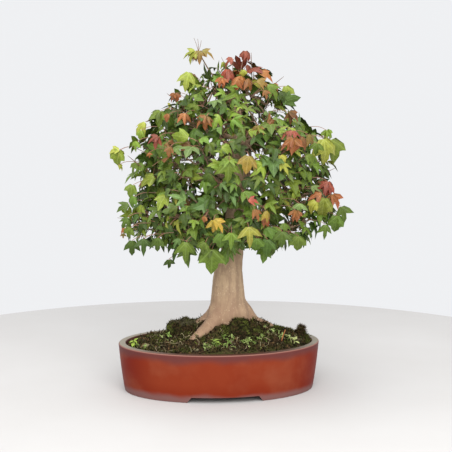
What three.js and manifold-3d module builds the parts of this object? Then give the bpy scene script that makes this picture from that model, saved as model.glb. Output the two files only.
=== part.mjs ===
// Trident maple bonsai in an oval stoneware pot.
// Millimetres, +Z up, -Y is the front. The pot is centred on the origin while it is built; at the end
// the whole tree is shifted so that the origin lies under the middle of its bounding box.
import * as THREE from 'three';
import { mergeVertices } from 'three/addons/utils/BufferGeometryUtils.js';
import Module from 'manifold-3d';

const wasm = await Module();
wasm.setup();

// ---------------------------------------------------------------- driving dimensions
const GAP = 0.35; // clearance between neighbouring solids
const OVERCUT = 1; // how far a cutter runs past the face that it cuts
const FULL_TURN = 2 * Math.PI;

const POT = {
  length: 280,
  width: 184,
  height: 66,
  wall: 10,
  taper: 8, // how far the wall leans in from rim to foot
  belly: 0.8, // outward swell of the wall at half height
  undersideZ: 7.5,
  floorTopZ: 16,
  footBand: 9,
  footLean: 1.5, // how far the inside of the foot ring leans in
  edgeRound: 1.5,
  levelShares: [0.06, 0.2, 0.4, 0.6, 0.8], // heights of the wall's stations
  corner: { rise: 2, near: 3, far: 8 }, // where the floor turns up into the wall
  segments: 40,
};
const FOOT_CUT = { topLength: 90, bottomLength: 102, overrun: 10 };
const DRILL_HEIGHT = 30;
const DRAIN_HOLE = { x: 52, radius: 10, sides: 20 };
const WIRE_HOLE = { x: 84, y: 30, radius: 3.2, sides: 10 };
const SCREEN = { side: 32, thickness: 1.2, cell: 6, pitch: 9, cells: 3, punchHeight: 6, pocketHeight: 8 };
const CLIP = { radius: 0.7, leg: 8.4, foot: 8, corner: 1.2, steps: 20 };
const TIE_WIRE = {
  radius: 1,
  clearUnder: 1.2,
  topX: 66,
  topY: 14,
  topZ: 40,
  lean: 2, // how far it leans towards the root plate just over the floor
  leanRise: 10,
  underRise: 4, // straight stretch over the turn under the floor
  underTurn: 3,
  steps: 30,
  sides: 5,
};

const SOIL = {
  edgeZ: 61,
  moundHeight: 42,
  moundX: 12,
  moundReach: 55,
  moundStretch: 1.5,
  capRise: 34, // the mound's top is flattened inside the trunk
  corner: { far: 8.5, near: 3 },
  bellyZ: 30,
  ringShares: [1, 0.82, 0.64, 0.48, 0.32, 0.16, 0],
};
const MOSS = [
  { name: 'moss_mound_front', x: 28, y: -36, z: 76, size: [30, 17, 26] },
  { name: 'moss_mound_left', x: -50, y: 2, z: 74, size: [24, 25, 25] },
  { name: 'moss_mound_back', x: 2, y: 44, z: 72, size: [36, 17, 22] },
  { name: 'moss_slope_right', x: 78, y: -8, z: 68, size: [26, 30, 17] },
  { name: 'moss_tuft_right', x: 117, y: 8, z: 62, size: [7, 9, 21] },
];
const SEEDLINGS = [
  { name: 'seedling_left', x: -119, y: -24, height: 13, leaf: 9 },
  { name: 'seedling_front', x: -8, y: -66, height: 14, leaf: 10 },
  { name: 'seedling_right', x: 94, y: -46, height: 12, leaf: 12 },
];
const SPROUT = { stem: 0.9, sink: 0.6, halfThickness: 0.7, tilt: -0.5, splay: 0.4 };

// Trunk line from the buried root plate to the tip of the leader, with its girth on the way up.
const TRUNK_LINE = [
  [13, 0, 52],
  [14, 0, 100],
  [11, -2, 150],
  [19, 0, 200],
  [25, 3, 270],
  [27, 0, 340],
  [22, 2, 400],
  [17, 0, 432],
].map((point) => new THREE.Vector3(...point));
const TRUNK_RADII = [37, 30, 21.5, 15, 12.5, 9.5, 6, 3];
const TRUNK_SIDES = 12;
const TRUNK_STEPS = 13;
// Surface roots: compass angle from +X, how far they run, their girth where they leave the trunk
// and how far they swing sideways before they dive into the soil.
const ROOTS = [
  { angle: 184, length: 58, radius: 12, swing: 5 },
  { angle: 222, length: 68, radius: 13, swing: -8 },
  { angle: 268, length: 46, radius: 11, swing: 6 },
  { angle: 318, length: 52, radius: 12, swing: -5 },
  { angle: 358, length: 56, radius: 13, swing: 4 },
  { angle: 42, length: 54, radius: 11, swing: -6 },
  { angle: 92, length: 48, radius: 12, swing: 5 },
  { angle: 140, length: 56, radius: 11, swing: -4 },
];
const ROOT_SHAPE = { rise: 6, thinning: 0.72, sides: 7, steps: 5 };
const STUB = { z: 322, tip: [29, -40, 331], radius: 5.5, swell: 1.5 };
const BRANCH = { girth: 4.5, arch: 0.12, thinning: 0.6, sides: 5, steps: 3 };

// Tiers of foliage, from the lowest up: height, distance out from the trunk line, leafy shoots in it.
const CROWN = { centreX: 16, depthScale: 0.88 };
const TIERS = [
  { name: 'foliage_low', z: 226, reach: 124, count: 8, turn: 10, rise: 26 },
  { name: 'foliage_middle', z: 276, reach: 121, count: 7, turn: 34, rise: 42 },
  { name: 'foliage_upper', z: 330, reach: 119, count: 6, turn: 2, rise: 60 },
  { name: 'foliage_high', z: 378, reach: 76, count: 4, turn: 50, rise: 52 },
  { name: 'foliage_crown', z: 424, reach: 36, count: 3, turn: 330, rise: 34 },
];
const SHOOT = {
  length: 56,
  longestShare: 0.6,
  leaves: 6,
  tries: 90,
  twigRadius: 2,
  spread: 24,
  lift: -0.12,
};
const LEADER = {
  name: 'leader_shoot',
  start: [0, -4, 446],
  tip: [-33, -8, 484],
  leaves: 3,
  spread: 10,
  lift: -0.5,
};
// Leaf blade; its lobes stand out at a share of its length, and its notches reach a share of its
// half-width.
const LEAF = {
  length: 31,
  width: 34,
  thickness: 2.4,
  petiole: 1.1,
  foot: 0.8,
  lobeAt: 0.6,
  notch: 0.36,
  peakAt: 5, // its thickest point, out from the blade's foot
  rootRoom: 4, // stretch of stalk that may touch its own twig
};

// ---------------------------------------------------------------- materials
function finish(color, roughness, metalness = 0) {
  return new THREE.MeshStandardMaterial({ color, roughness, metalness });
}
const stoneware = finish(0x9c4630, 0.55);
const earth = finish(0x3d3322, 0.95);
const mossGreen = finish(0x55602a, 0.95);
const bark = finish(0xae9277, 0.8);
const foliageGreen = finish(0x5d7236, 0.6);
const freshGreen = finish(0xa9c45f, 0.6);
const meshPlastic = finish(0x24262a, 0.6);
const aluminiumWire = finish(0x8d8a86, 0.4, 0.9);

// ---------------------------------------------------------------- solids
/** Turns a closed three.js geometry into a manifold solid. */
function solidOf(geometry) {
  geometry.deleteAttribute('normal');
  geometry.deleteAttribute('uv');
  const merged = mergeVertices(geometry, 1e-4);
  const corners = merged.index.array;
  const faces = [];
  for (let i = 0; i < corners.length; i += 3) {
    const [a, b, c] = [corners[i], corners[i + 1], corners[i + 2]];
    if (a !== b && b !== c && c !== a) faces.push(a, b, c);
  }
  return new wasm.Manifold(new wasm.Mesh({
    numProp: 3,
    vertProperties: new Float32Array(merged.attributes.position.array),
    triVerts: new Uint32Array(faces),
  }));
}

/** Turns a manifold solid back into a three.js geometry. */
function geometryOf(solid) {
  const { vertProperties, triVerts } = solid.getMesh();
  const geometry = new THREE.BufferGeometry();
  geometry.setAttribute('position', new THREE.BufferAttribute(new Float32Array(vertProperties), 3));
  geometry.setIndex(new THREE.BufferAttribute(new Uint32Array(triVerts), 1));
  geometry.computeVertexNormals();
  return geometry;
}

/** The biggest connected lump of a solid, without the crumbs that a cut leaves. */
function biggestLump(solid) {
  const lumps = solid.decompose();
  return lumps.reduce((best, lump) => (lump.volume() > best.volume() ? lump : best));
}

function namedMesh(name, solid, material) {
  const mesh = new THREE.Mesh(geometryOf(biggestLump(solid)), material);
  mesh.name = name;
  return mesh;
}

/** Repeatable random numbers from 0 to 1. */
function randomSource(seed) {
  let state = seed;
  return () => {
    state = (state * 1664525 + 1013904223) % 4294967296;
    return state / 4294967296;
  };
}

/** Smooth value through a list of evenly spaced stations, for t from 0 to 1. */
function along(values, t) {
  const place = t * (values.length - 1);
  const index = Math.min(Math.floor(place), values.length - 2);
  return THREE.MathUtils.lerp(values[index], values[index + 1], place - index);
}

/** Closed tube of changing girth along a curve: a capped cylinder whose rings are laid on it. */
function taperedTube(curve, radiusAt, sides, steps) {
  const geometry = new THREE.CylinderGeometry(1, 1, 1, sides, steps);
  const frames = curve.computeFrenetFrames(steps, false);
  const position = geometry.attributes.position;
  for (let i = 0; i < position.count; i += 1) {
    const ring = Math.round((position.getY(i) + 0.5) * steps);
    const point = curve.getPointAt(ring / steps);
    const radius = radiusAt(ring / steps);
    point.addScaledVector(frames.normals[ring], position.getX(i) * radius);
    point.addScaledVector(frames.binormals[ring], -position.getZ(i) * radius);
    position.setXYZ(i, point.x, point.y, point.z);
  }
  return solidOf(geometry);
}

/** Round wire of one thickness along a smooth path through the points. */
function wire(points, radius, steps, sides = 6) {
  const stations = points.map((point) => new THREE.Vector3(...point));
  const path = new THREE.CatmullRomCurve3(stations, false, 'centripetal');
  const circle = new THREE.EllipseCurve(0, 0, radius, radius).getPoints(sides);
  const section = new THREE.Shape(circle.slice(0, sides));
  return solidOf(new THREE.ExtrudeGeometry(section, { steps, extrudePath: path, bevelEnabled: false }));
}

function uprightCylinder(x, y, radius, sides, height) {
  const geometry = new THREE.CylinderGeometry(radius, radius, height, sides);
  geometry.rotateX(Math.PI / 2);
  geometry.translate(x, y, height / 2);
  return solidOf(geometry);
}

function block(size, centre) {
  const geometry = new THREE.BoxGeometry(...size);
  geometry.translate(...centre);
  return solidOf(geometry);
}

// ---------------------------------------------------------------- oval pot
const ovalStretch = (POT.length - POT.width) / 2;

/** Spins a profile round Z and stretches it along X, so that walls keep their thickness all round. */
function ovalLathe(profile, heightAt) {
  const points = profile.map(([radius, z]) => new THREE.Vector2(radius, z));
  const geometry = new THREE.LatheGeometry(points, POT.segments);
  geometry.rotateX(Math.PI / 2);
  const position = geometry.attributes.position;
  for (let i = 0; i < position.count; i += 1) {
    const turn = (Math.floor(i / points.length) / POT.segments) * FULL_TURN;
    const x = position.getX(i) + ovalStretch * Math.sin(turn);
    position.setX(i, x);
    if (heightAt) position.setZ(i, heightAt(x, position.getY(i), position.getZ(i)));
  }
  return solidOf(geometry);
}

/** Half-width of the pot's outer wall at a height. */
function wallRadius(z) {
  const share = z / POT.height;
  return POT.width / 2 - POT.taper * (1 - share) + POT.belly * Math.sin(Math.PI * share);
}

function potBody() {
  const round = POT.edgeRound;
  const footInner = wallRadius(0) - POT.footBand;
  const { rise, near, far } = POT.corner;
  const levels = POT.levelShares.map((share) => share * POT.height);
  const innerLevels = levels.filter((z) => z > POT.floorTopZ + rise).reverse();
  const floorRadius = wallRadius(POT.floorTopZ) - POT.wall;
  const outer = levels.map((z) => [wallRadius(z), z]);
  const inner = innerLevels.map((z) => [wallRadius(z) - POT.wall, z]);
  return ovalLathe([
    [0, POT.undersideZ],
    [footInner - POT.footLean, POT.undersideZ],
    [footInner, 0],
    [wallRadius(0) - round, 0],
    ...outer,
    [wallRadius(POT.height), POT.height - round],
    [wallRadius(POT.height) - round, POT.height],
    [wallRadius(POT.height) - POT.wall + round, POT.height],
    [wallRadius(POT.height) - POT.wall, POT.height - round],
    ...inner,
    [floorRadius - near, POT.floorTopZ + rise],
    [floorRadius - far, POT.floorTopZ],
    [0, POT.floorTopZ],
  ]);
}

/** Long trapezoid notch that parts the foot ring into two feet, front and back at once. */
function footNotch() {
  const bottomHalf = FOOT_CUT.bottomLength / 2;
  const topHalf = FOOT_CUT.topLength / 2;
  const outline = new THREE.Shape([
    new THREE.Vector2(-bottomHalf - OVERCUT, -OVERCUT),
    new THREE.Vector2(bottomHalf + OVERCUT, -OVERCUT),
    new THREE.Vector2(topHalf, POT.undersideZ),
    new THREE.Vector2(-topHalf, POT.undersideZ),
  ]);
  const depth = POT.width + 2 * FOOT_CUT.overrun;
  const geometry = new THREE.ExtrudeGeometry(outline, { depth, bevelEnabled: false });
  geometry.rotateX(Math.PI / 2);
  geometry.translate(0, depth / 2, 0);
  return solidOf(geometry);
}

function makePot() {
  let pot = potBody().subtract(footNotch());
  for (const side of [-1, 1]) {
    const drain = DRAIN_HOLE;
    pot = pot.subtract(uprightCylinder(side * drain.x, 0, drain.radius, drain.sides, DRILL_HEIGHT));
    for (const depth of [-1, 1]) {
      const { x, y, radius, sides } = WIRE_HOLE;
      pot = pot.subtract(uprightCylinder(side * x, depth * y, radius, sides, DRILL_HEIGHT));
    }
  }
  return pot;
}

// ---------------------------------------------------------------- screens and wires inside the pot
function drainScreen(side) {
  const centreZ = POT.floorTopZ + GAP + SCREEN.thickness / 2;
  let screen = block([SCREEN.side, SCREEN.side, SCREEN.thickness], [side * DRAIN_HOLE.x, 0, centreZ]);
  const first = (-(SCREEN.cells - 1) / 2) * SCREEN.pitch;
  for (let column = 0; column < SCREEN.cells; column += 1) {
    for (let row = 0; row < SCREEN.cells; row += 1) {
      const [x, y] = [side * DRAIN_HOLE.x + first + column * SCREEN.pitch, first + row * SCREEN.pitch];
      screen = screen.subtract(block([SCREEN.cell, SCREEN.cell, SCREEN.punchHeight], [x, y, centreZ]));
    }
  }
  return screen;
}

/** Wire staple that holds a screen: a bar on top, two legs down the hole, two feet under the floor. */
function screenClip(side) {
  const x = side * DRAIN_HOLE.x;
  const top = POT.floorTopZ + SCREEN.thickness + 2 * GAP + CLIP.radius;
  const bottom = POT.undersideZ - GAP - CLIP.radius;
  const halfPath = [
    [CLIP.leg + CLIP.foot, bottom],
    [CLIP.leg + CLIP.corner, bottom],
    [CLIP.leg, bottom + CLIP.corner],
    [CLIP.leg, top - CLIP.corner],
    [CLIP.leg - CLIP.corner, top],
  ];
  const front = halfPath.map(([reach, z]) => [x, -reach, z]);
  const back = halfPath.map(([reach, z]) => [x, reach, z]).reverse();
  return wire([...front, ...back], CLIP.radius, CLIP.steps);
}

/** Anchor wire: up through two floor holes, its ends laid over the buried root plate. */
function tieWire(side, extraRadius = 0) {
  const { x, y } = WIRE_HOLE;
  const { topX, topY, topZ, lean, leanRise, underRise, underTurn, steps, sides } = TIE_WIRE;
  const bottom = POT.undersideZ - TIE_WIRE.clearUnder - TIE_WIRE.radius;
  const halfPath = [
    [topX, topY, topZ],
    [x - lean, y - lean, POT.floorTopZ + leanRise],
    [x, y, POT.floorTopZ],
    [x, y, bottom + underRise],
    [x, y - underTurn, bottom],
  ];
  const front = halfPath.map(([px, py, z]) => [side * px, -py, z]);
  const back = halfPath.map(([px, py, z]) => [side * px, py, z]).reverse();
  return wire([...front, ...back], TIE_WIRE.radius + extraRadius, steps, sides);
}

// ---------------------------------------------------------------- tree: trunk, roots and branches
const trunkCurve = new THREE.CatmullRomCurve3(TRUNK_LINE, false, 'centripetal');

/** Height of the soil over a point of the pot, mounded up to the trunk. */
function soilHeight(x, y) {
  const out = Math.hypot((x - SOIL.moundX) / SOIL.moundStretch, y);
  return SOIL.edgeZ + SOIL.moundHeight * Math.exp(-((out / SOIL.moundReach) ** 2));
}

/** Point of the trunk line at a height. */
function trunkPoint(z) {
  let [low, high] = [0, 1];
  for (let i = 0; i < 24; i += 1) {
    const middle = (low + high) / 2;
    if (trunkCurve.getPointAt(middle).z < z) low = middle;
    else high = middle;
  }
  return trunkCurve.getPointAt(low);
}

function trunkStem(extra) {
  const radiusAt = (t) => along(TRUNK_RADII, trunkCurve.getUtoTmapping(t)) + extra;
  return taperedTube(trunkCurve, radiusAt, TRUNK_SIDES, TRUNK_STEPS);
}

function rootTube({ angle, length, radius, swing }, extra) {
  const heading = THREE.MathUtils.degToRad(angle);
  const centre = TRUNK_LINE[1];
  const reachPoint = (share, sink) => {
    const sideways = swing * Math.sin(Math.PI * share);
    const x = centre.x + Math.cos(heading) * length * share - Math.sin(heading) * sideways;
    const y = centre.y + Math.sin(heading) * length * share + Math.cos(heading) * sideways;
    return new THREE.Vector3(x, y, soilHeight(x, y) - sink);
  };
  const curve = new THREE.CatmullRomCurve3([
    new THREE.Vector3(centre.x, centre.y, centre.z + ROOT_SHAPE.rise),
    reachPoint(0.5, -1),
    reachPoint(0.8, 2),
    reachPoint(1.05, 12),
  ]);
  const radiusAt = (t) => radius * (1 - ROOT_SHAPE.thinning * t) + extra;
  return taperedTube(curve, radiusAt, ROOT_SHAPE.sides, ROOT_SHAPE.steps);
}

function branchTube(from, to, girth, extra) {
  const arch = new THREE.Vector3(0, 0, BRANCH.arch * from.distanceTo(to));
  const middle = from.clone().lerp(to, 0.5).add(arch);
  const curve = new THREE.QuadraticBezierCurve3(from, middle, to);
  const radiusAt = (t) => girth * (1 - BRANCH.thinning * t) + extra;
  return taperedTube(curve, radiusAt, BRANCH.sides, BRANCH.steps);
}

/** The whole woody tree, grown as one piece; `extra` swells it to cut clearance in its neighbours. */
function woodyTree(shoots, extra = 0) {
  let tree = trunkStem(extra);
  for (const root of ROOTS) tree = tree.add(rootTube(root, extra));
  const stubTip = new THREE.Vector3(...STUB.tip);
  tree = tree.add(branchTube(trunkPoint(STUB.z), stubTip, STUB.radius, extra + STUB.swell));
  for (const { from, start, girth } of shoots) tree = tree.add(branchTube(from, start, girth, extra));
  return tree;
}

// ---------------------------------------------------------------- foliage
/** Outline of a stalked three-lobed leaf, across and along, with its foot just behind the twig. */
function leafOutline(stalk, scale) {
  const [half, length] = [(LEAF.width / 2) * scale, LEAF.length * scale];
  const leftSide = [
    [-LEAF.petiole, -LEAF.foot],
    [-LEAF.petiole, stalk],
    [-half, stalk + LEAF.lobeAt * length],
    [-half * LEAF.notch, stalk + LEAF.lobeAt * length],
  ];
  const rightSide = leftSide.map(([across, forward]) => [-across, forward]).reverse();
  return [...leftSide, [0, stalk + length], ...rightSide];
}

/** One leaf and its stalk as a flat double pyramid, from a point on a twig out along a heading. */
function leafSolid(root, heading, stalk, scale, margin) {
  const outline = leafOutline(stalk, scale * (1 + margin / 12));
  const corners = outline.length;
  const geometry = new THREE.SphereGeometry(1, corners, 2);
  const position = geometry.attributes.position;
  for (let i = 0; i < position.count; i += 1) {
    const pole = Math.round(position.getY(i));
    const [across, forward] = pole === 0 ? outline[(i % (corners + 1)) % corners] : [0, stalk + LEAF.peakAt];
    position.setXYZ(i, across, (pole * (LEAF.thickness + margin)) / 2, forward);
  }
  const side = new THREE.Vector3().crossVectors(heading, new THREE.Vector3(0, 0, 1)).normalize();
  const normal = new THREE.Vector3().crossVectors(heading, side).normalize();
  geometry.applyMatrix4(new THREE.Matrix4().makeBasis(side, normal, heading).setPosition(root));
  return solidOf(geometry);
}

/** A leafy shoot: a twig with leaves round it, clear of all the wood and shoots so far. */
function leafyShoot({ start, tip, leaves, spread, lift }, occupied, random) {
  const twigCurve = new THREE.LineCurve3(start, tip);
  const direction = tip.clone().sub(start).normalize();
  let shoot = taperedTube(twigCurve, (t) => SHOOT.twigRadius * (1 - 0.3 * t), 5, 1);
  let placed = 0;
  for (let tries = 0; tries < SHOOT.tries && placed < leaves; tries += 1) {
    const root = twigCurve.getPoint(0.25 + 0.72 * ((placed + random()) / leaves));
    const around = new THREE.Vector3(random() - 0.5, random() - 0.5, random() - 0.5 + lift).normalize();
    const heading = around.addScaledVector(direction, 0.35).normalize();
    const stalk = spread * (0.4 + 0.6 * random());
    const scale = 0.85 + 0.3 * random();
    const clearRoot = root.clone().addScaledVector(heading, LEAF.rootRoom);
    const room = leafSolid(clearRoot, heading, stalk - LEAF.rootRoom, scale, 1);
    if (room.intersect(occupied).isEmpty() && room.intersect(shoot).isEmpty()) {
      shoot = shoot.add(leafSolid(root, heading, stalk, scale, 0));
      placed += 1;
    }
  }
  return shoot;
}

/** Where each shoot of a tier leaves its branch and where it ends. */
function tierShoots({ name, z, reach, count, turn, rise }) {
  return Array.from({ length: count }, (_, index) => {
    const angle = THREE.MathUtils.degToRad(turn + (360 * index) / count);
    const outward = new THREE.Vector3(Math.cos(angle), CROWN.depthScale * Math.sin(angle), 0);
    const tip = new THREE.Vector3(CROWN.centreX, 0, z).addScaledVector(outward, reach);
    const from = trunkPoint(z - rise);
    const share = Math.min(SHOOT.length / tip.distanceTo(from), SHOOT.longestShare);
    const start = tip.clone().lerp(from, share);
    const twigStart = start.clone().lerp(tip, 0.03 + GAP / SHOOT.length);
    return { name: `${name}_${index + 1}`, from, start, girth: BRANCH.girth, twigStart, tip };
  });
}

function makeSeedling({ x, y, height, leaf }) {
  const { stem, sink, halfThickness, tilt, splay } = SPROUT;
  const foot = new THREE.Vector3(x, y, soilHeight(x, y) + GAP);
  const neck = foot.clone().add(new THREE.Vector3(0, 0, height));
  let plant = taperedTube(new THREE.LineCurve3(foot, neck), () => stem, 5, 1);
  for (const side of [-1, 1]) {
    const blade = new THREE.SphereGeometry(1, 6, 2);
    blade.scale(leaf / 2, halfThickness, leaf / 4);
    blade.rotateX(Math.PI / 2);
    blade.rotateY(tilt);
    blade.translate(leaf / 2 - sink, 0, leaf / 4);
    if (side < 0) blade.rotateZ(Math.PI - splay);
    blade.translate(neck.x, neck.y, neck.z - sink);
    plant = plant.add(solidOf(blade));
  }
  return plant;
}

// ---------------------------------------------------------------- soil and moss
function soilMass() {
  const radiusAt = (z) => wallRadius(z) - POT.wall - GAP;
  const bottom = POT.floorTopZ + GAP;
  const { edgeZ, bellyZ, corner } = SOIL;
  const top = SOIL.ringShares.map((share) => [share * radiusAt(edgeZ), edgeZ]);
  const profile = [
    [0, bottom],
    [radiusAt(bottom) - corner.far, bottom],
    [radiusAt(bottom) - corner.near, bottom + corner.near],
    [radiusAt(bellyZ), bellyZ],
    ...top,
  ];
  const moundAt = (x, y) => Math.min(soilHeight(x, y), edgeZ + SOIL.capRise);
  return ovalLathe(profile, (x, y, z) => (z === edgeZ ? moundAt(x, y) : z));
}

function mossCushion({ x, y, z, size }) {
  const geometry = new THREE.SphereGeometry(1, 12, 7);
  geometry.rotateX(Math.PI / 2);
  geometry.scale(...size);
  geometry.translate(x, y, z);
  return solidOf(geometry);
}

// ---------------------------------------------------------------- assembly
const bonsai = new THREE.Group();
const shootPlans = TIERS.flatMap(tierShoots);
const wood = woodyTree(shootPlans);
const woodClearance = woodyTree(shootPlans, GAP);

bonsai.add(namedMesh('pot', makePot(), stoneware));
for (const [label, side] of [['left', -1], ['right', 1]]) {
  bonsai.add(namedMesh(`drain_screen_${label}`, drainScreen(side), meshPlastic));
  bonsai.add(namedMesh(`screen_clip_${label}`, screenClip(side), aluminiumWire));
  bonsai.add(namedMesh(`tie_wire_${label}`, tieWire(side), aluminiumWire));
}

let soil = soilMass().subtract(woodClearance);
for (const side of [-1, 1]) {
  const room = SCREEN.side + 2 * GAP;
  soil = soil.subtract(block([room, room, SCREEN.pocketHeight], [side * DRAIN_HOLE.x, 0, POT.floorTopZ]));
  soil = soil.subtract(tieWire(side, GAP));
}
bonsai.add(namedMesh('soil', soil, earth));

let ground = soilMass().translate([0, 0, GAP]);
for (const cushion of MOSS) {
  const moss = mossCushion(cushion).subtract(ground).subtract(woodClearance);
  bonsai.add(namedMesh(cushion.name, moss, mossGreen));
  ground = ground.add(mossCushion({ ...cushion, size: cushion.size.map((half) => half + GAP) }));
}
for (const seedling of SEEDLINGS) bonsai.add(namedMesh(seedling.name, makeSeedling(seedling), freshGreen));

bonsai.add(namedMesh('trunk', wood, bark));

const random = randomSource(20);
let occupied = wood;
for (const plan of shootPlans) {
  const shoot = leafyShoot({ ...SHOOT, start: plan.twigStart, tip: plan.tip }, occupied, random);
  occupied = occupied.add(shoot);
  bonsai.add(namedMesh(plan.name, shoot, foliageGreen));
}
const leaderPlan = {
  ...LEADER,
  start: new THREE.Vector3(...LEADER.start),
  tip: new THREE.Vector3(...LEADER.tip),
};
bonsai.add(namedMesh(LEADER.name, leafyShoot(leaderPlan, occupied, random), foliageGreen));

const box = new THREE.Box3().setFromObject(bonsai, true);
const middle = box.getCenter(new THREE.Vector3());
bonsai.position.set(-middle.x, -middle.y, 0);

export default bonsai;
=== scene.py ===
"""Trident maple bonsai in an oval stoneware pot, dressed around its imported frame.

Metres, +Z up, -Y is the front. Sizes inside the classes are millimetres, measured from the middle of
the pot's underside, and the function spot turns them into places in the frame. Sizes inside the
finishes are metres, as their materials use them.
"""
import logging
import math
import random
from collections.abc import Callable, Sequence
from dataclasses import dataclass
from enum import Enum
from functools import cache

import bpy
import numpy as np
from mathutils import Matrix, Vector, noise


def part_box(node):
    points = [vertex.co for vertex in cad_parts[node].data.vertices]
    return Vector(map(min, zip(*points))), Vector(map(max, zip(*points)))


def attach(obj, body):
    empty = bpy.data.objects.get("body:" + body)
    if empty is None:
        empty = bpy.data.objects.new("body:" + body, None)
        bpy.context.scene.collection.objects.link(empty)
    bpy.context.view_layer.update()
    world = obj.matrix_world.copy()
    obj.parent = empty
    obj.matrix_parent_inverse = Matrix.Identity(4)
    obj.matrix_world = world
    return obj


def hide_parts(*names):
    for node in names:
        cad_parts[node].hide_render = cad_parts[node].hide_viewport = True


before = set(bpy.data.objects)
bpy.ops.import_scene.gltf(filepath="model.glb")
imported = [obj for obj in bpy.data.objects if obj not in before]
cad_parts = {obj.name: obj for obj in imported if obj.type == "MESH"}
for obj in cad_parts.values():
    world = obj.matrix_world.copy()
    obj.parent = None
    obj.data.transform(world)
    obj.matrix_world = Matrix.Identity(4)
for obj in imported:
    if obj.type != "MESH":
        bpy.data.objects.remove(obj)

MM = 0.001
UP = Vector((0, 0, 1))
FULL_TURN = 2 * math.pi
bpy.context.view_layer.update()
POT_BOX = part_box("pot")
POT_MIDDLE = Vector(((POT_BOX[0].x + POT_BOX[1].x) / 2, (POT_BOX[0].y + POT_BOX[1].y) / 2, 0))
TO_FRAME = Matrix.Translation(POT_MIDDLE) @ Matrix.Scale(MM, 4)

Colour = tuple[float, float, float]
Triple = tuple[float, float, float]
Ring = tuple[float, float]
Span = tuple[float, float]
Material = bpy.types.Material
Node = bpy.types.Node
Piece = bpy.types.Object
Socket = bpy.types.NodeSocket
Tree = bpy.types.NodeTree
log = logging.getLogger("bonsai")


# ---------------------------------------------------------------- places, selection and modifiers
def spot(x: float, y: float, z: float) -> Vector:
    """A place in the frame from millimetres measured from the middle of the pot's underside."""
    return TO_FRAME @ Vector((x, y, z))


def ease(share: float) -> float:
    """A share from 0 to 1 with a soft start and end."""
    share = min(max(share, 0), 1)
    return share * share * (3 - 2 * share)


def compass(turn: float, z: float = 0) -> Vector:
    """A level direction at an angle from +X, raised by z."""
    return Vector((math.cos(turn), math.sin(turn), z))


def jitter(dice: random.Random, reach: float) -> Vector:
    """A random offset of up to a reach each way."""
    return Vector(dice.uniform(-reach, reach) for _ in range(3))


def fade(start: float, end: float, count: int) -> list[float]:
    """Evenly spaced values from a start to an end."""
    return list(np.linspace(start, end, count))


def mixed(first: Colour, second: Colour, share: float) -> Colour:
    """A colour between two, by the second one's share."""
    return tuple(a * (1 - share) + b * share for a, b in zip(first, second))


def dimmed(colour: Colour, gain: float) -> Colour:
    """A colour made brighter or darker."""
    return tuple(c * gain for c in colour)


def take_up(obj: Piece) -> None:
    """Makes an object the only selected and the active one."""
    bpy.ops.object.select_all(action="DESELECT")
    obj.select_set(True)
    bpy.context.view_layer.objects.active = obj


def start_edit(obj: Piece) -> None:
    """Opens one object in edit mode with all of it selected."""
    take_up(obj)
    bpy.ops.object.mode_set(mode="EDIT")
    bpy.ops.mesh.select_all(action="SELECT")


def end_edit() -> None:
    """Goes back to object mode."""
    bpy.ops.object.mode_set(mode="OBJECT")


def end_closed() -> None:
    """Turns all faces of the body in edit mode outward and goes back to object mode."""
    bpy.ops.mesh.select_all(action="SELECT")
    bpy.ops.mesh.normals_make_consistent(inside=False)
    end_edit()


def carve(obj: Piece, kind: str, **settings: object) -> None:
    """Adds a modifier and applies it at once.

    Args:
        obj: The piece that is worked on.
        kind: The modifier's type.
        **settings: The modifier's own settings.
    """
    modifier = obj.modifiers.new(kind.title(), kind)
    for name, value in settings.items():
        setattr(modifier, name, value)
    take_up(obj)
    bpy.ops.object.modifier_apply(modifier=modifier.name)


def cut_away(obj: Piece, cutter: Piece) -> None:
    """Takes a cutter's shape out of a piece and throws the cutter away."""
    carve(obj, "BOOLEAN", object=cutter, operation="DIFFERENCE", solver="EXACT")
    bpy.data.objects.remove(cutter)


def weld(parts: Sequence[Piece]) -> Piece:
    """Joins several objects into the first one and returns it."""
    take_up(parts[0])
    for part in parts[1:]:
        part.select_set(True)
    bpy.ops.object.join()
    return parts[0]


def set_local(obj: Piece) -> None:
    """Moves an object's place into its mesh, staying in its own units."""
    take_up(obj)
    bpy.ops.object.transform_apply(location=True, rotation=True, scale=True)


def set_in_frame(obj: Piece) -> None:
    """Takes a piece built in millimetres round the pot's middle to its place in the frame."""
    obj.data.transform(TO_FRAME @ obj.matrix_world)
    obj.matrix_world = Matrix.Identity(4)


def soften(obj: Piece, degrees: float) -> None:
    """Shades a piece smooth, except over edges that are sharper than an angle."""
    take_up(obj)
    bpy.ops.object.shade_smooth_by_angle(angle=math.radians(degrees))


def shape_points(obj: Piece, rule: Callable[[Vector], Vector]) -> None:
    """Moves every point of a mesh by a rule."""
    for vertex in obj.data.vertices:
        vertex.co = rule(vertex.co)
    obj.data.update()


class Slot(Enum):
    """Finishes of the record, by name."""

    STONEWARE = "pot_stoneware"
    SOIL = "soil"
    MOSS = "moss"
    SEEDLING = "seedling"
    BARK = "bark"
    LEAF = "foliage"


def hand_over(obj: Piece, slot: Slot, material: Material, *nodes: str) -> None:
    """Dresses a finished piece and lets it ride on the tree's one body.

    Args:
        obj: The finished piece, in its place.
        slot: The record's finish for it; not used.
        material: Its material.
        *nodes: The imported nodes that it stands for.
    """
    obj.data.materials.clear()
    obj.data.materials.append(material)
    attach(obj, "root")
    if nodes:
        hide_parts(*nodes)
    log.info("%s: %d faces", obj.name, len(obj.data.polygons))


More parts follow.
